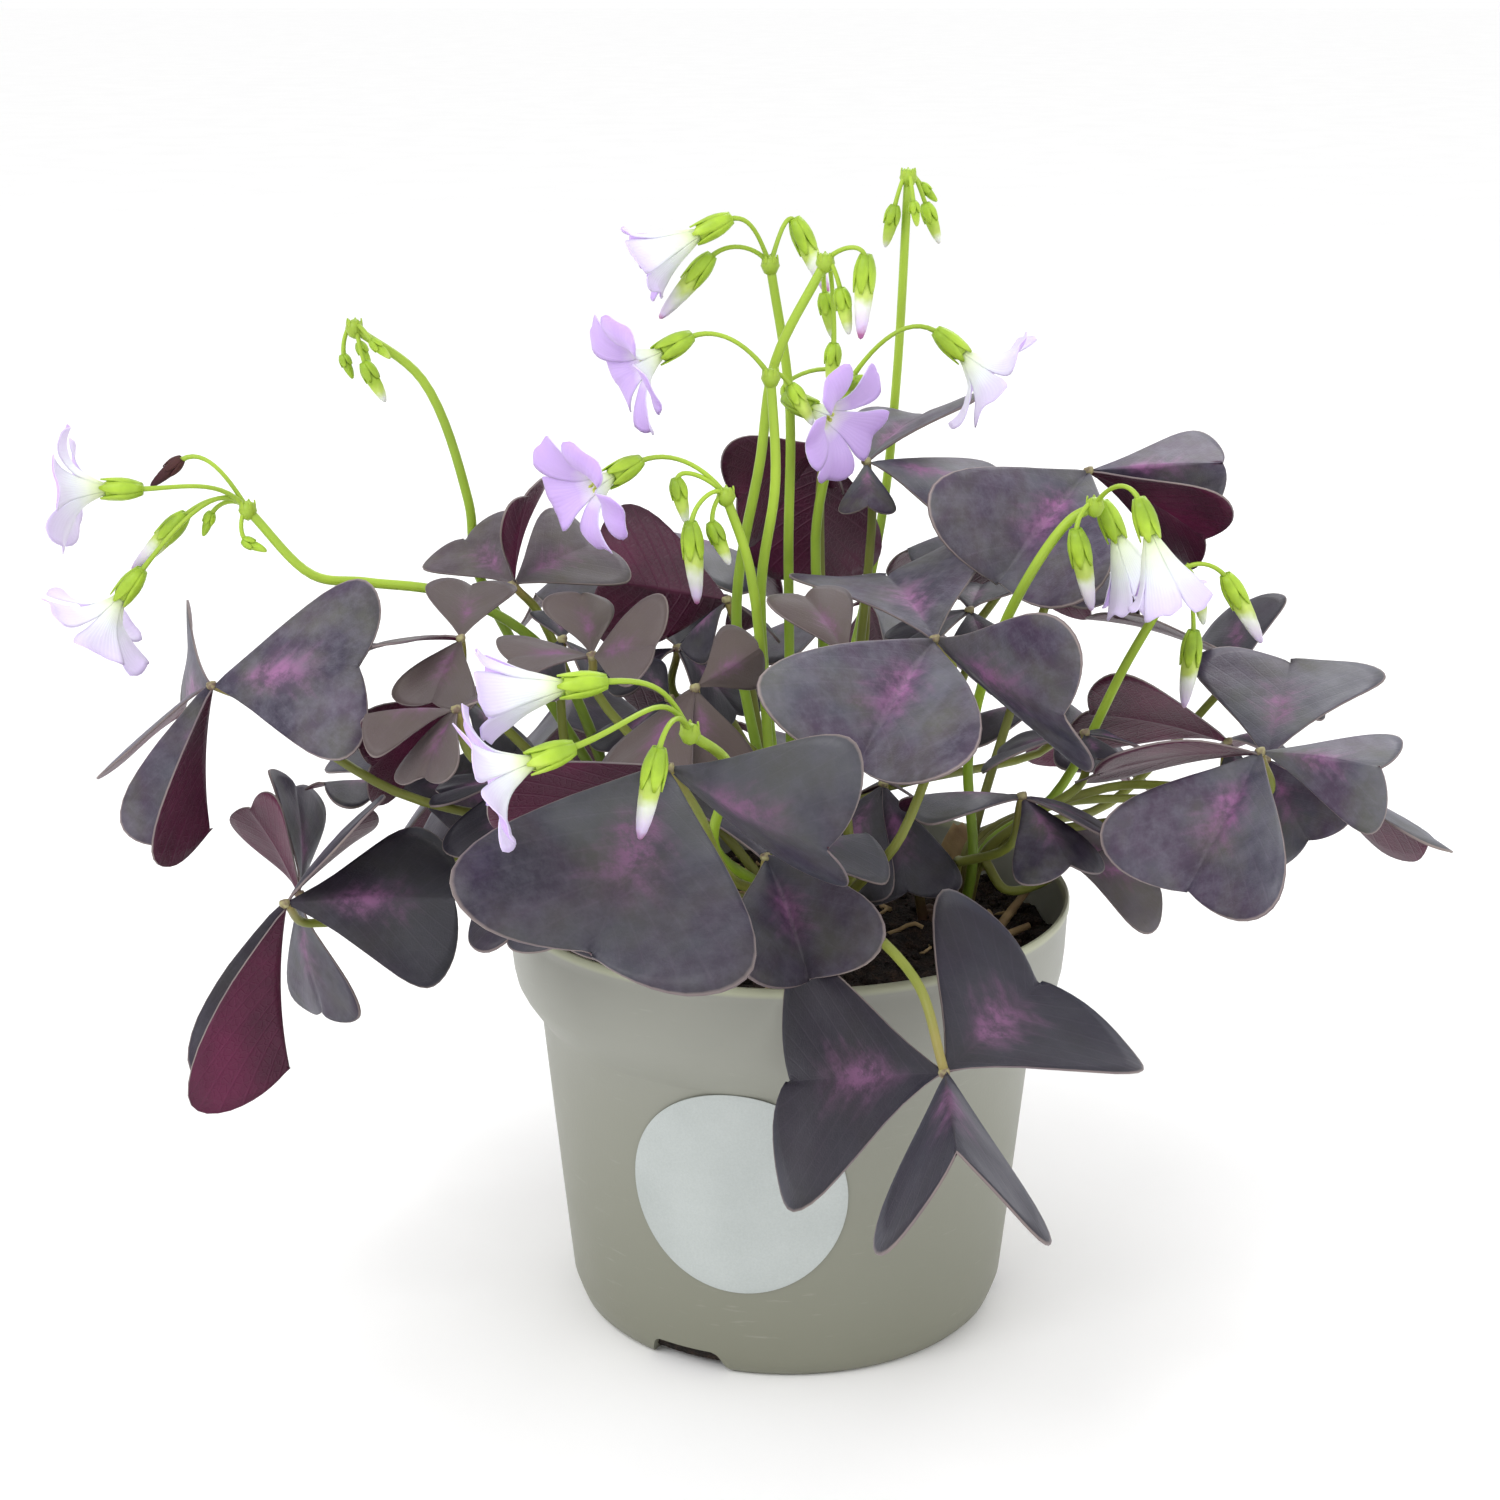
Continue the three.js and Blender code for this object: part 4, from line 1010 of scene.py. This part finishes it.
# %% [markdown]
# ## Putting the leaves together
#
# A leaf is three blades and the swollen knob that they hinge on. Young leaves are smaller and
# bronze. Leaves deep inside the plant or low down are painted nearly black, as painted shade. Each
# leaf carries a number for this on its points, above zero for youth and below it for painted shade,
# which the finish reads. A second number paints light on the leaves that stand most in the light, making them
# paler.

# %% All leaves
# Painted light: how much paler each leaf that stands in the light is made.
PAINTED_LIGHT = {"middle_high": 0.9, "right_top": 1.0, "left_high": 0.8, "right_broad": 0.8, "back_top": 0.8,
         "left_top": 0.5, "right_under": 0.4, "right_low": 0.6}
# Painted shade: how far each leaf inside or low in the plant is darkened towards black.
PAINTED_SHADE = {"shade_left": 1.0, "shade_right": 1.0, "shade_front": 1.0, "shade_back": 0.9, "shade_under": 1.0,
          "shade_top": 0.8, "left_inner": 0.8, "middle_low": 0.9, "right_inner": 0.35, "right_back": 0.6,
          "front_low": 0.8, "right_behind": 0.7, "left_shaded": 0.6, "back_left_top": 0.5,
          "front_inner": 0.3, "back_a": 0.5, "back_c": 0.5, "front_broad": 0.25, "front_drooping": 0.95,
          "left_low": 0.7}
YOUNG = {"young_middle": 0.8, "young_left": 0.75, "young_top_left": 0.7, "young_centre": 0.85,
         "young_right": 0.8, "front_inner": 0.1, "right_inner": 0.35, "right_low": 0.3,
         "middle_low": 0.3, "left_shaded": 0.25, "left_top": 0.35, "left_inner": 0.2, "front_low": 0.2}


def knob_shape(knob):
    """The small swollen joint where three leaflets meet."""
    made = blank()
    bmesh.ops.create_icosphere(made, subdivisions=2, radius=KNOB_RADIUS)
    for vert in made.verts:
        vert.co *= 0.8 + 0.25 * noise.noise(vert.co * 1.1)
        vert.co.z *= 0.8
    bmesh.ops.translate(made, vec=knob, verts=made.verts)
    return paint(made, 3)


for number, (name, item) in enumerate(LEAVES.items()):
    whole = blank()
    gather(whole, knob_shape(item["knob"]))
    for side, sizes in enumerate(item["leaflets"]):
        gather(whole, leaflet(item["knob"], sizes, YOUNG.get(name, 0.0) - PAINTED_SHADE.get(name, 0.0),
                               PAINTED_LIGHT.get(name, 0.0), 3 * number + side))
    piece(f"leaf_blades_{name}", whole, leaf_finishes, "leaf", f"leaf_{name}")

# %% [markdown]
# ## Stalks of leaves and flowers
#
# Every stalk rises from one of four crowns in the soil. A leaf's stalk ends below its knob, and a
# flower's stalk ends in a head from which thin stems arch over and hang a bud or a flower. The
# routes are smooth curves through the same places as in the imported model, so that the drawn stalk
# follows the plain one.

# %% Smooth routes
SCAPE_RADIUS = 1.1
PETIOLE_RADIUS = 1.05
PEDICEL_RADIUS = 0.48
PEDICEL_DEPTH = 1.6
PEDICEL_STEPS = 14
HUB_REACH = 9
STEPS_A_SPAN = 8
ROOT_REACH = 4.5
LIFT_REACH = 4
LIFT_HEIGHT = 18


def route(places):
    """Points on the smooth curve through places that never overshoots between close ones."""
    points = [2 * places[0] - places[1], *places, 2 * places[-1] - places[-2]]
    found = []
    for p0, p1, p2, p3 in zip(points, points[1:], points[2:], points[3:]):
        d0, d1, d2 = [max((q - p).length, 0.01) ** 0.5 for p, q in ((p0, p1), (p1, p2), (p2, p3))]
        leave = ((p1 - p0) / d0 - (p2 - p0) / (d0 + d1) + (p2 - p1) / d1) * d1
        reach = ((p2 - p1) / d1 - (p3 - p1) / (d1 + d2) + (p3 - p2) / d2) * d1
        for i in range(STEPS_A_SPAN):
            t = i / STEPS_A_SPAN
            found.append(p1 + leave * t + (3 * (p2 - p1) - 2 * leave - reach) * t * t
                         + (2 * (p1 - p2) + leave + reach) * t ** 3)
    return found + [places[-1]]


def rise(crown, places):
    """A stalk's route out of its crown and up through its places."""
    x, y = CROWNS[crown]
    outward = Vector((places[0].x - x, places[0].y - y, 0)).normalized()
    root = Vector((x, y, SOIL_LEVEL)) + outward * ROOT_REACH
    lift = root + outward * LIFT_REACH + UP * LIFT_HEIGHT
    return route([root, lift, *places])


# %% Leaf stalks
def petiole(item):
    """A leaf's stalk, a little thicker at its foot, up into the knob."""
    hub = Vector(item["knob"])
    if "near" in item:
        before = Vector(item["near"])
        towards = (before - hub).normalized()
    else:
        towards = -sum((leaflet_axes(*sizes[:3])[2] for sizes in item["leaflets"]), Vector()).normalized()
        before = hub + towards * (KNOB_RADIUS + GAP + HUB_REACH)
    end = hub + towards * (KNOB_RADIUS + GAP)
    places = [Vector(item["via"])] if "via" in item else []
    spots = rise(item["crown"], [*places, before, end]) + [hub]
    radii = [PETIOLE_RADIUS * (1.12 - 0.3 * i / len(spots)) for i in range(len(spots))]
    return carried(spots, radii, 10)


# %% Flower table
FLOWER_SPIN = 0.6
FLOWER_STALKS = {
    "left": {"crown": "left", "path": [(-50, 10, 140), (-70, 10, 154), (-89, 10, 157), (-100, 8, 159),
                                       (-113, 8, 173)],
     "items": [("open", (-133, 0, 179), (-142, 0, 179)), ("open", (-135, 4, 161), (-144, 4, 150)),
               ("bud", (-126, 8, 172), (-138, 8, 160)), ("tiny", (-121, 10, 172), (-123, 10, 167)),
               ("tiny", (-114, 6, 167), (-108, 6, 164)), ("dry", (-127, 12, 183), (-134, 12, 177))]},
    "arch": {"crown": "left", "path": [(-67, 28, 154), (-69, 28, 171), (-78, 28, 197), (-92, 28, 208)],
     "items": [("small", (-90, 26, 201), (-85, 26, 191)), ("tiny", (-95, 30, 202), (-92, 30, 194)),
               ("tiny", (-92, 34, 204), (-89, 34, 197)), ("tiny", (-88, 24, 206), (-84, 24, 202))]},
    "tall": {"crown": "front", "path": [(-11, 2, 150), (-6, 2, 185), (-3, 2, 205), (7, 2, 225)],
     "items": [("bud", (15, -2, 227), (14, -2, 208)), ("small", (10, 0, 220), (12, 0, 210)),
               ("small", (7, 8, 218), (9, 8, 208)), ("small", (9, 6, 208), (8, 6, 196))]},
    "pair": {"crown": "back", "path": [(0, 14, 161), (0, 14, 196), (-4, 14, 223)],
     "items": [("bell", (-12, 10, 233), (-20, 10, 229)), ("bud", (-16, 14, 225), (-26, 14, 213)),
               ("bud", (1, 18, 232), (6, 18, 221))]},
    "mid": {"crown": "front", "path": [(-6, -6, 157), (-3, -6, 182), (-4, -6, 203)],
     "items": [("open", (-20, -4, 211), (-32, -10, 205)), ("small", (0, -3, 201), (4, -3, 194))]},
    "back": {"crown": "back", "path": [(6, 26, 163), (11, 26, 189), (13, 26, 197)],
     "items": [("open", (31, 24, 208), (39, 24, 201)), ("open", (-1, 11, 196), (9, 4, 193)),
               ("tiny", (14, 22, 198), (19, 22, 197))]},
    "fan": {"crown": "front", "path": [(-8, -12, 164), (-13, -12, 180)],
     "items": [("open", (-30, -16, 188), (-41, -24, 183)), ("small", (-23, -14, 184), (-21, -14, 175)),
               ("bud", (-20, -18, 176), (-19, -18, 162)), ("small", (-16, -14, 175), (-13, -14, 168))]},
    "spire": {"crown": "back", "path": [(22, 66, 158), (25, 66, 190), (27, 66, 236)],
     "items": [("small", (24, 64, 230), (22, 64, 221)), ("small", (31, 68, 230), (34, 68, 222)),
               ("tiny", (28, 62, 231), (29, 62, 225)), ("tiny", (30, 70, 234), (34, 71, 230))]},
    "right": {"crown": "right", "path": [(38, 0, 122), (44, -20, 158), (55, -22, 177), (60, -22, 180)],
     "items": [("bell", (67, -34, 184), (70, -34, 175)), ("bell", (62, -18, 180), (66, -18, 171)),
               ("bud", (56, -25, 176), (59, -25, 163))]},
    "far": {"crown": "right", "path": [(57, 8, 110), (72, 7, 141), (82, 6, 160)],
     "items": [("bud", (91, 4, 160), (99, 4, 146)), ("small", (86, 10, 157), (88, 10, 148)),
               ("bud", (85, 4, 148), (84, 4, 135))]},
    "front": {"crown": "front", "path": [(-15, -44, 116), (-12, -62, 138), (-19, -82, 151)],
     "items": [("bell", (-33, -98, 165), (-41, -98, 164)), ("open", (-38, -111, 157), (-47, -112, 154)),
               ("bud", (-24, -98, 153), (-27, -99, 139))]},
}
print(sum(len(item["items"]) for item in FLOWER_STALKS.values()), "flowers and buds")

# %% Flower stalks and their arching stems
def pedicel(head, base, axis):
    """The thin stem from a head: it rises, arches over and enters a flower's base."""
    span = (base - head).length
    outward = Vector((base.x - head.x, base.y - head.y, 0)) * 0.25
    p0, p1 = head, head + outward + UP * span * 0.35
    p2, p3 = base - axis * span * 0.35, base + axis * PEDICEL_DEPTH
    spots = []
    for i in range(PEDICEL_STEPS + 1):
        t = i / PEDICEL_STEPS
        spots.append(p0 * (1 - t) ** 3 + p1 * 3 * t * (1 - t) ** 2 + p2 * 3 * t * t * (1 - t) + p3 * t ** 3)
    radii = [PEDICEL_RADIUS * (1 + 0.35 * abs(2 * i / PEDICEL_STEPS - 1) ** 3) for i in range(len(spots))]
    return paint(carried(spots, radii, 8, (0.6, 1)), 1)


def sepal(length, radius, half_turn, bearing, along):
    """One pointed green blade that hugs a flower's or bud's foot."""
    made = blank()
    layer = made.verts.layers.float["along"]
    bmesh.ops.create_grid(made, x_segments=6, y_segments=4, size=0.5)
    for vert in made.verts:
        u, v = vert.co.x + 0.5, 2 * vert.co.y
        reach = radius * math.sin(math.pi * min(0.16 + 0.62 * u, 0.5)) * (1 - 0.1 * u ** 4)
        angle = bearing + v * half_turn * (1 - 0.85 * u ** 3.5)
        vert.co = Vector((reach * math.cos(angle), reach * math.sin(angle), length * u))
        vert[layer] = between(along, u)
    bmesh.ops.remove_doubles(made, verts=made.verts, dist=0.01)
    bmesh.ops.solidify(made, geom=made.faces[:], thickness=0.3)
    return outward(made)


def calyx(base, axis):
    """Five sepals round a small green cup."""
    made = blank()
    cup = [(0, -0.4), (0.9, -0.2), (1.5, 1.0), (1.95, 3.2), (2.0, 5.4), (1.8, 7.2), (0, 7.0)]
    gather(made, spun(cup, 15, (0.1, 0.34)))
    for i in range(5):
        gather(made, sepal(8.4, 2.15, math.radians(39), i * 2 * math.pi / 5, (0.1, 0.34)))
    return paint(stand(made, base, axis), 2)


# Each kind of bud: its length, its radius, and which part of the skin's colours it shows.
BUD_SIZES = {"bud": (17, 2.1, (0, 1)), "small": (9.5, 1.6, (0, 0.7)), "tiny": (5.5, 1.1, (0, 0.4)),
             "dry": (9, 1.4, (0, 1))}


def bud(kind, base, axis):
    """Rolled petals that show past five sepals; small buds are still green, a dry one is maroon."""
    length, radius, along = BUD_SIZES[kind]
    shape = [(0, 0), (0.45, 0.0), (0.75, 0.12), (0.92, 0.28), (0.97, 0.45), (0.88, 0.62), (0.7, 0.78),
             (0.5, 0.9), (0.25, 0.98), (0, 1)]
    rolled = spun([(radius * r * 0.92, length * z) for r, z in shape], 15, along)
    for vert in rolled.verts:
        turn = math.atan2(vert.co.y, vert.co.x)
        vert.co.xy *= 1 + 0.09 * math.cos(5 * turn + 5 * vert.co.z / length)
    made = blank()
    gather(made, rolled)
    for i in range(5):
        gather(made, sepal(length * 0.45, radius * 0.98, math.radians(38), i * 2 * math.pi / 5,
                           (0.1, 0.34)))
    return paint(stand(made, base, axis), 4 if kind == "dry" else 2)


def head_knob(head):
    """The head's small swelling, with a few pointed bracts."""
    made = spun([(0, -2.4), (1.3, -1.7), (2.0, -0.2), (1.6, 1.3), (0, 2.0)], 10, (0.9, 1))
    for i in range(5):
        bract = sepal(3.2, 1.5, math.radians(24), i * 2 * math.pi / 5 + 0.3, (0.5, 1))
        bmesh.ops.translate(bract, vec=(0, 0, -1.2), verts=bract.verts)
        gather(made, bract)
    return paint(stand(made, head, UP), 1)


def flower_stalk(item):
    """A tall smooth stalk with its head, stems, buds and cups."""
    spots = rise(item["crown"], [Vector(place) for place in item["path"]])
    radii = [SCAPE_RADIUS * (1.08 - 0.2 * i / len(spots)) for i in range(len(spots))]
    made = paint(carried(spots, radii, 12), 1)
    head = spots[-1]
    gather(made, head_knob(head))
    for kind, base, mouth in item["items"]:
        base, axis = Vector(base), (Vector(mouth) - Vector(base)).normalized()
        gather(made, pedicel(head, base, axis))
        gather(made, bud(kind, base, axis) if kind in BUD_SIZES else calyx(base, axis))
    return made


# %% Crowns
CROWN_RADIUS = 7
CROWN_DEPTH = 13


def crown_body(x, y):
    """A scaly crown, half sunk in the soil, with the stubs of old stalks."""
    rng = random.Random(int(x * 7 + y))
    r = CROWN_RADIUS
    foot = 0.3 - CROWN_DEPTH / 2
    made = spun([(0, foot), (r * 0.8, foot), (r, -2), (r * 0.97, 0.2), (r * 0.85, 2), (r * 0.5, 3.6),
                 (0, 4.4)], 24)
    for vert in made.verts:
        vert.co *= 1 + 0.1 * noise.noise(vert.co * 0.5 + Vector((x, y, 0)))
    for i in range(9):
        bearing = i * 2.4
        scale = blank()
        bmesh.ops.create_icosphere(scale, subdivisions=2, radius=1.8)
        bmesh.ops.scale(scale, vec=(1, 0.7, 1.5), verts=scale.verts)
        spot = Vector((math.cos(bearing), math.sin(bearing), 0)) * (2 + 3.2 * rng.random()) + UP * 2.2
        gather(made, stand(scale, spot, spot * 0.08 + UP, bearing))
    bmesh.ops.translate(made, vec=(x, y, SOIL_LEVEL), verts=made.verts)
    return paint(made, 3)


# %% [markdown]
# ## The stalks' finishes
#
# Living stalks are juicy and slightly see-through: IOR 1.4, roughness near 0.42, and a skin of fine
# cells. Leaf stalks run from red-brown at the foot through olive to tan below the knob; flower
# stalks are bright lime. Both are also painted darker towards the foot as painted shade, for their low
# parts deep inside the plant. The place along the stalk, stored on its points, drives the tone.

# %% Living stalks, buds and crowns
def stalk_skin(name, stops, scale, rough):
    """A juicy skin whose tone follows the place along the stalk, with soft blotches."""
    made, tree, here = finish(name, Roughness=rough, IOR=1.4, Subsurface_Weight=0.12,
                              Subsurface_Scale=0.0012, Subsurface_Radius=(0.8, 1.0, 0.3))
    along = add(tree, "Attribute", attribute_name="along").outputs["Fac"]
    blotch = clouds(tree, here, scale, 3.0)
    place = reckon(tree, "ADD", along, ranged(tree, blotch, 0.3, 0.7, -0.09, 0.09))
    light = ranged(tree, blotch, 0.35, 0.65, 0.88, 1.12)
    skin = add(tree, "HueSaturation", {"Value": light, "Color": toned(tree, place, stops)})
    return dressed(made, skin.outputs["Color"], clouds(tree, here, 1700.0), 0.25, 0.0002)


# Partly painted shade: both stalks are painted darker towards the foot, low inside the plant; the red-brown,
# olive and lime hues are their own.
petiole_skin = stalk_skin("olive_leaf_stalk", [
    (0.0, "#50362a"), (1.0, "#8d8048"), (0.25, "#67662e"), (0.7, "#7d8636")], 55.0, 0.45)
scape_skin = stalk_skin("lime_flower_stalk", [
    (0.0, "#5f7426"), (1.0, "#98b43a"), (0.4, "#86a32f"), (0.8, "#a2be3c")], 45.0, 0.4)
bud_skin = stalk_skin("green_bud_with_lilac_tip", [
    (0.0, "#86a82c"), (1.0, "#b06a9c"), (0.3, "#a6c638"), (0.5, "#c2d66a"), (0.64, "#e2e6da"),
    (0.9, "#d4c2e4")], 160.0, 0.42)
withered_skin = stalk_skin("withered_maroon_bud", [(0.0, "#4c2a28"), (1.0, "#3a1220")], 300.0, 0.7)
crown_skin = stalk_skin("scaly_crown", [(0.0, "#4a3226"), (1.0, "#8a7440")], 300.0, 0.6)

# %% Building the four crowns
for crown, (x, y) in CROWNS.items():
    whole = crown_body(x, y)
    for item in LEAVES.values():
        if item["crown"] == crown:
            gather(whole, paint(petiole(item), 0))
    for item in FLOWER_STALKS.values():
        if item["crown"] == crown:
            gather(whole, flower_stalk(item))
    piece(f"stalks_{crown}", whole, [petiole_skin, scape_skin, bud_skin, crown_skin, withered_skin], "stalk",
          f"crown_{crown}")

# %% [markdown]
# ## The flowers
#
# Five broad petals join in a narrow greenish funnel and flare into a lilac limb, 26 mm across,
# with squared ends that overlap a little like a pinwheel. Each petal is a grid again: its middle
# line follows the funnel's profile, and its width wraps round the funnel before it flattens.

# %% Petal profiles
PETALS = 5
PETAL_THICKNESS = 0.25
CALYX_LENGTH = 8
FLAT_FROM = 0.3
FLAT_OVER = 0.35

# Along the flower's axis, out from it, and the petal's width there.
PETAL_PATHS = {
    "open": [(-1, 0.9, 1.1), (0.8, 1.6, 2.0), (2.6, 2.6, 3.3), (4.6, 3.8, 5.0), (6.2, 5.6, 7.2),
             (7.3, 8.0, 10.2), (7.7, 10.6, 11.6), (7.2, 13.2, 10.4)],
    "bell": [(-1, 0.9, 1.1), (1, 1.7, 2.1), (3.5, 2.7, 3.6), (6.5, 3.7, 5.4), (9, 4.6, 6.8),
             (11, 5.6, 7.8), (12.4, 6.8, 8.0), (13.2, 8.2, 7.0)],
}


def petal(path, bearing, rng):
    """One petal of a corolla, made along +Z."""
    made = blank()
    vein = made.loops.layers.uv["vein"]
    down = made.verts.layers.float_vector["down"]
    curl = rng.uniform(-1.0, 1.0)
    phase = rng.uniform(0, 6)
    bmesh.ops.create_grid(made, x_segments=16, y_segments=10, size=0.5)
    for vert in made.verts:
        u, v = vert.co.x + 0.5, 2 * vert.co.y
        for loop in vert.link_loops:
            loop[vein].uv = (u, v)
        w = u * (1 - 0.11 * u * abs(v) ** 4 - 0.03 * u * (1 - abs(v)) ** 2)
        along, out, width = [through([row[i] for row in path], w) for i in range(3)]
        flat = min(max((u - FLAT_FROM) / FLAT_OVER, 0), 1)
        turn = v * width / (2 * out)
        x = out * math.cos(turn) * (1 - flat) + out * flat
        y = out * math.sin(turn) * (1 - flat) + v * width / 2 * flat
        z = along + flat * (0.55 * v + 0.5 * v * v + 0.35 * math.sin(4 * v + phase) * u * u)
        z += curl * max(u - 0.5, 0) ** 2 * 6 - 0.25 * math.exp(-((v * 4) ** 2)) * flat
        vert.co = Vector((x, y, z))
    made.normal_update()
    for vert in made.verts:
        vert[down] = -vert.normal * PETAL_THICKNESS
    thickened(made, 1)
    bmesh.ops.transform(made, matrix=Matrix.Rotation(bearing, 4, "Z"), verts=made.verts)
    return made


def corolla(kind, base, mouth, spin, seed):
    """Five petals and the stamens inside them, standing in their cup."""
    rng = random.Random(seed)
    made = blank()
    for i in range(PETALS):
        gather(made, petal(PETAL_PATHS[kind], 2 * math.pi * i / PETALS, rng))
    for i in range(PETALS):
        anther = blank()
        bmesh.ops.create_icosphere(anther, subdivisions=1, radius=0.42)
        bmesh.ops.scale(anther, vec=(0.8, 0.8, 1.5), verts=anther.verts)
        turn = 2 * math.pi * (i + 0.5) / PETALS
        spot = Vector((0.75 * math.cos(turn), 0.75 * math.sin(turn), 3.2 + 0.5 * (i % 2)))
        gather(made, paint(stand(anther, spot, spot + UP * 4), 2))
        thread = carried([Vector((0, 0, -1)), spot * 0.7, spot], [0.16, 0.14, 0.12], 5)
        gather(made, paint(thread, 2))
    base, axis = Vector(base), (Vector(mouth) - Vector(base)).normalized()
    return stand(made, base + axis * (CALYX_LENGTH + GAP), axis, spin)


# %% [markdown]
# ## The petals' finish
#
# Petals are a few cells thick, so light passes through: IOR 1.36, soft roughness 0.5 and a little
# scattering below the skin. The funnel is yellow-green inside, then white, and the limb lilac with
# fine violet lines that run out from the throat about 1 mm apart. Their backs are paler.

# %% Petal faces
PETAL_LINES = 6.0


def petal_skin(name, stops, line_colour):
    made, tree, here = finish(name, Roughness=0.5, IOR=1.36, Sheen_Weight=0.1, Subsurface_Weight=0.25,
                              Subsurface_Scale=0.0015, Subsurface_Radius=(1.0, 0.8, 1.0))
    vein = add(tree, "UVMap", uv_map="vein").outputs["UV"]
    split = add(tree, "SeparateXYZ", {"Vector": vein}).outputs
    shift = ranged(tree, clouds(tree, here, 130.0, 3.0), 0.3, 0.7, -0.06, 0.06)
    tone = toned(tree, reckon(tree, "ADD", split["X"], shift), stops)
    tooth = reckon(tree, "PINGPONG", reckon(tree, "MULTIPLY", split["Y"], PETAL_LINES), 0.5)
    thin = ranged(tree, tooth, 0.0, 0.16, 0.3, 0.0)
    fade = ranged(tree, split["X"], 0.35, 0.95, 1.0, 0.2)
    lined = mixed(tree, reckon(tree, "MULTIPLY", thin, fade), tone, line_colour)
    return dressed(made, lined, tooth, 0.2, 0.0003)


lilac_face = petal_skin("lilac_petal_face", [
    (0.0, "#c8d860"), (1.0, "#c4a4ec"), (0.2, "#dfe8a0"), (0.34, "#ece4f8"), (0.52, "#ccb2ee")], "#a98cd8")
pale_back = petal_skin("pale_petal_back", [
    (0.0, "#c9dc7c"), (1.0, "#d3c3ee"), (0.25, "#e9f2d8"), (0.45, "#e8ecf2"), (0.7, "#dcd4f0")], "#c2b4de")
stamen_skin = stalk_skin("yellow_green_stamen", [(0.0, "#c5cf5e"), (1.0, "#e2dc86")], 400.0, 0.5)

# %% All corollas
seed = 0
for name, item in FLOWER_STALKS.items():
    opened = [flower for flower in item["items"] if flower[0] in PETAL_PATHS]
    for i, (kind, base, mouth) in enumerate(opened):
        seed += 1
        piece(f"petals_{name}_{i + 1}", corolla(kind, base, mouth, FLOWER_SPIN * i, seed),
              [lilac_face, pale_back, stamen_skin], "petal", f"flower_{name}_{i + 1}")
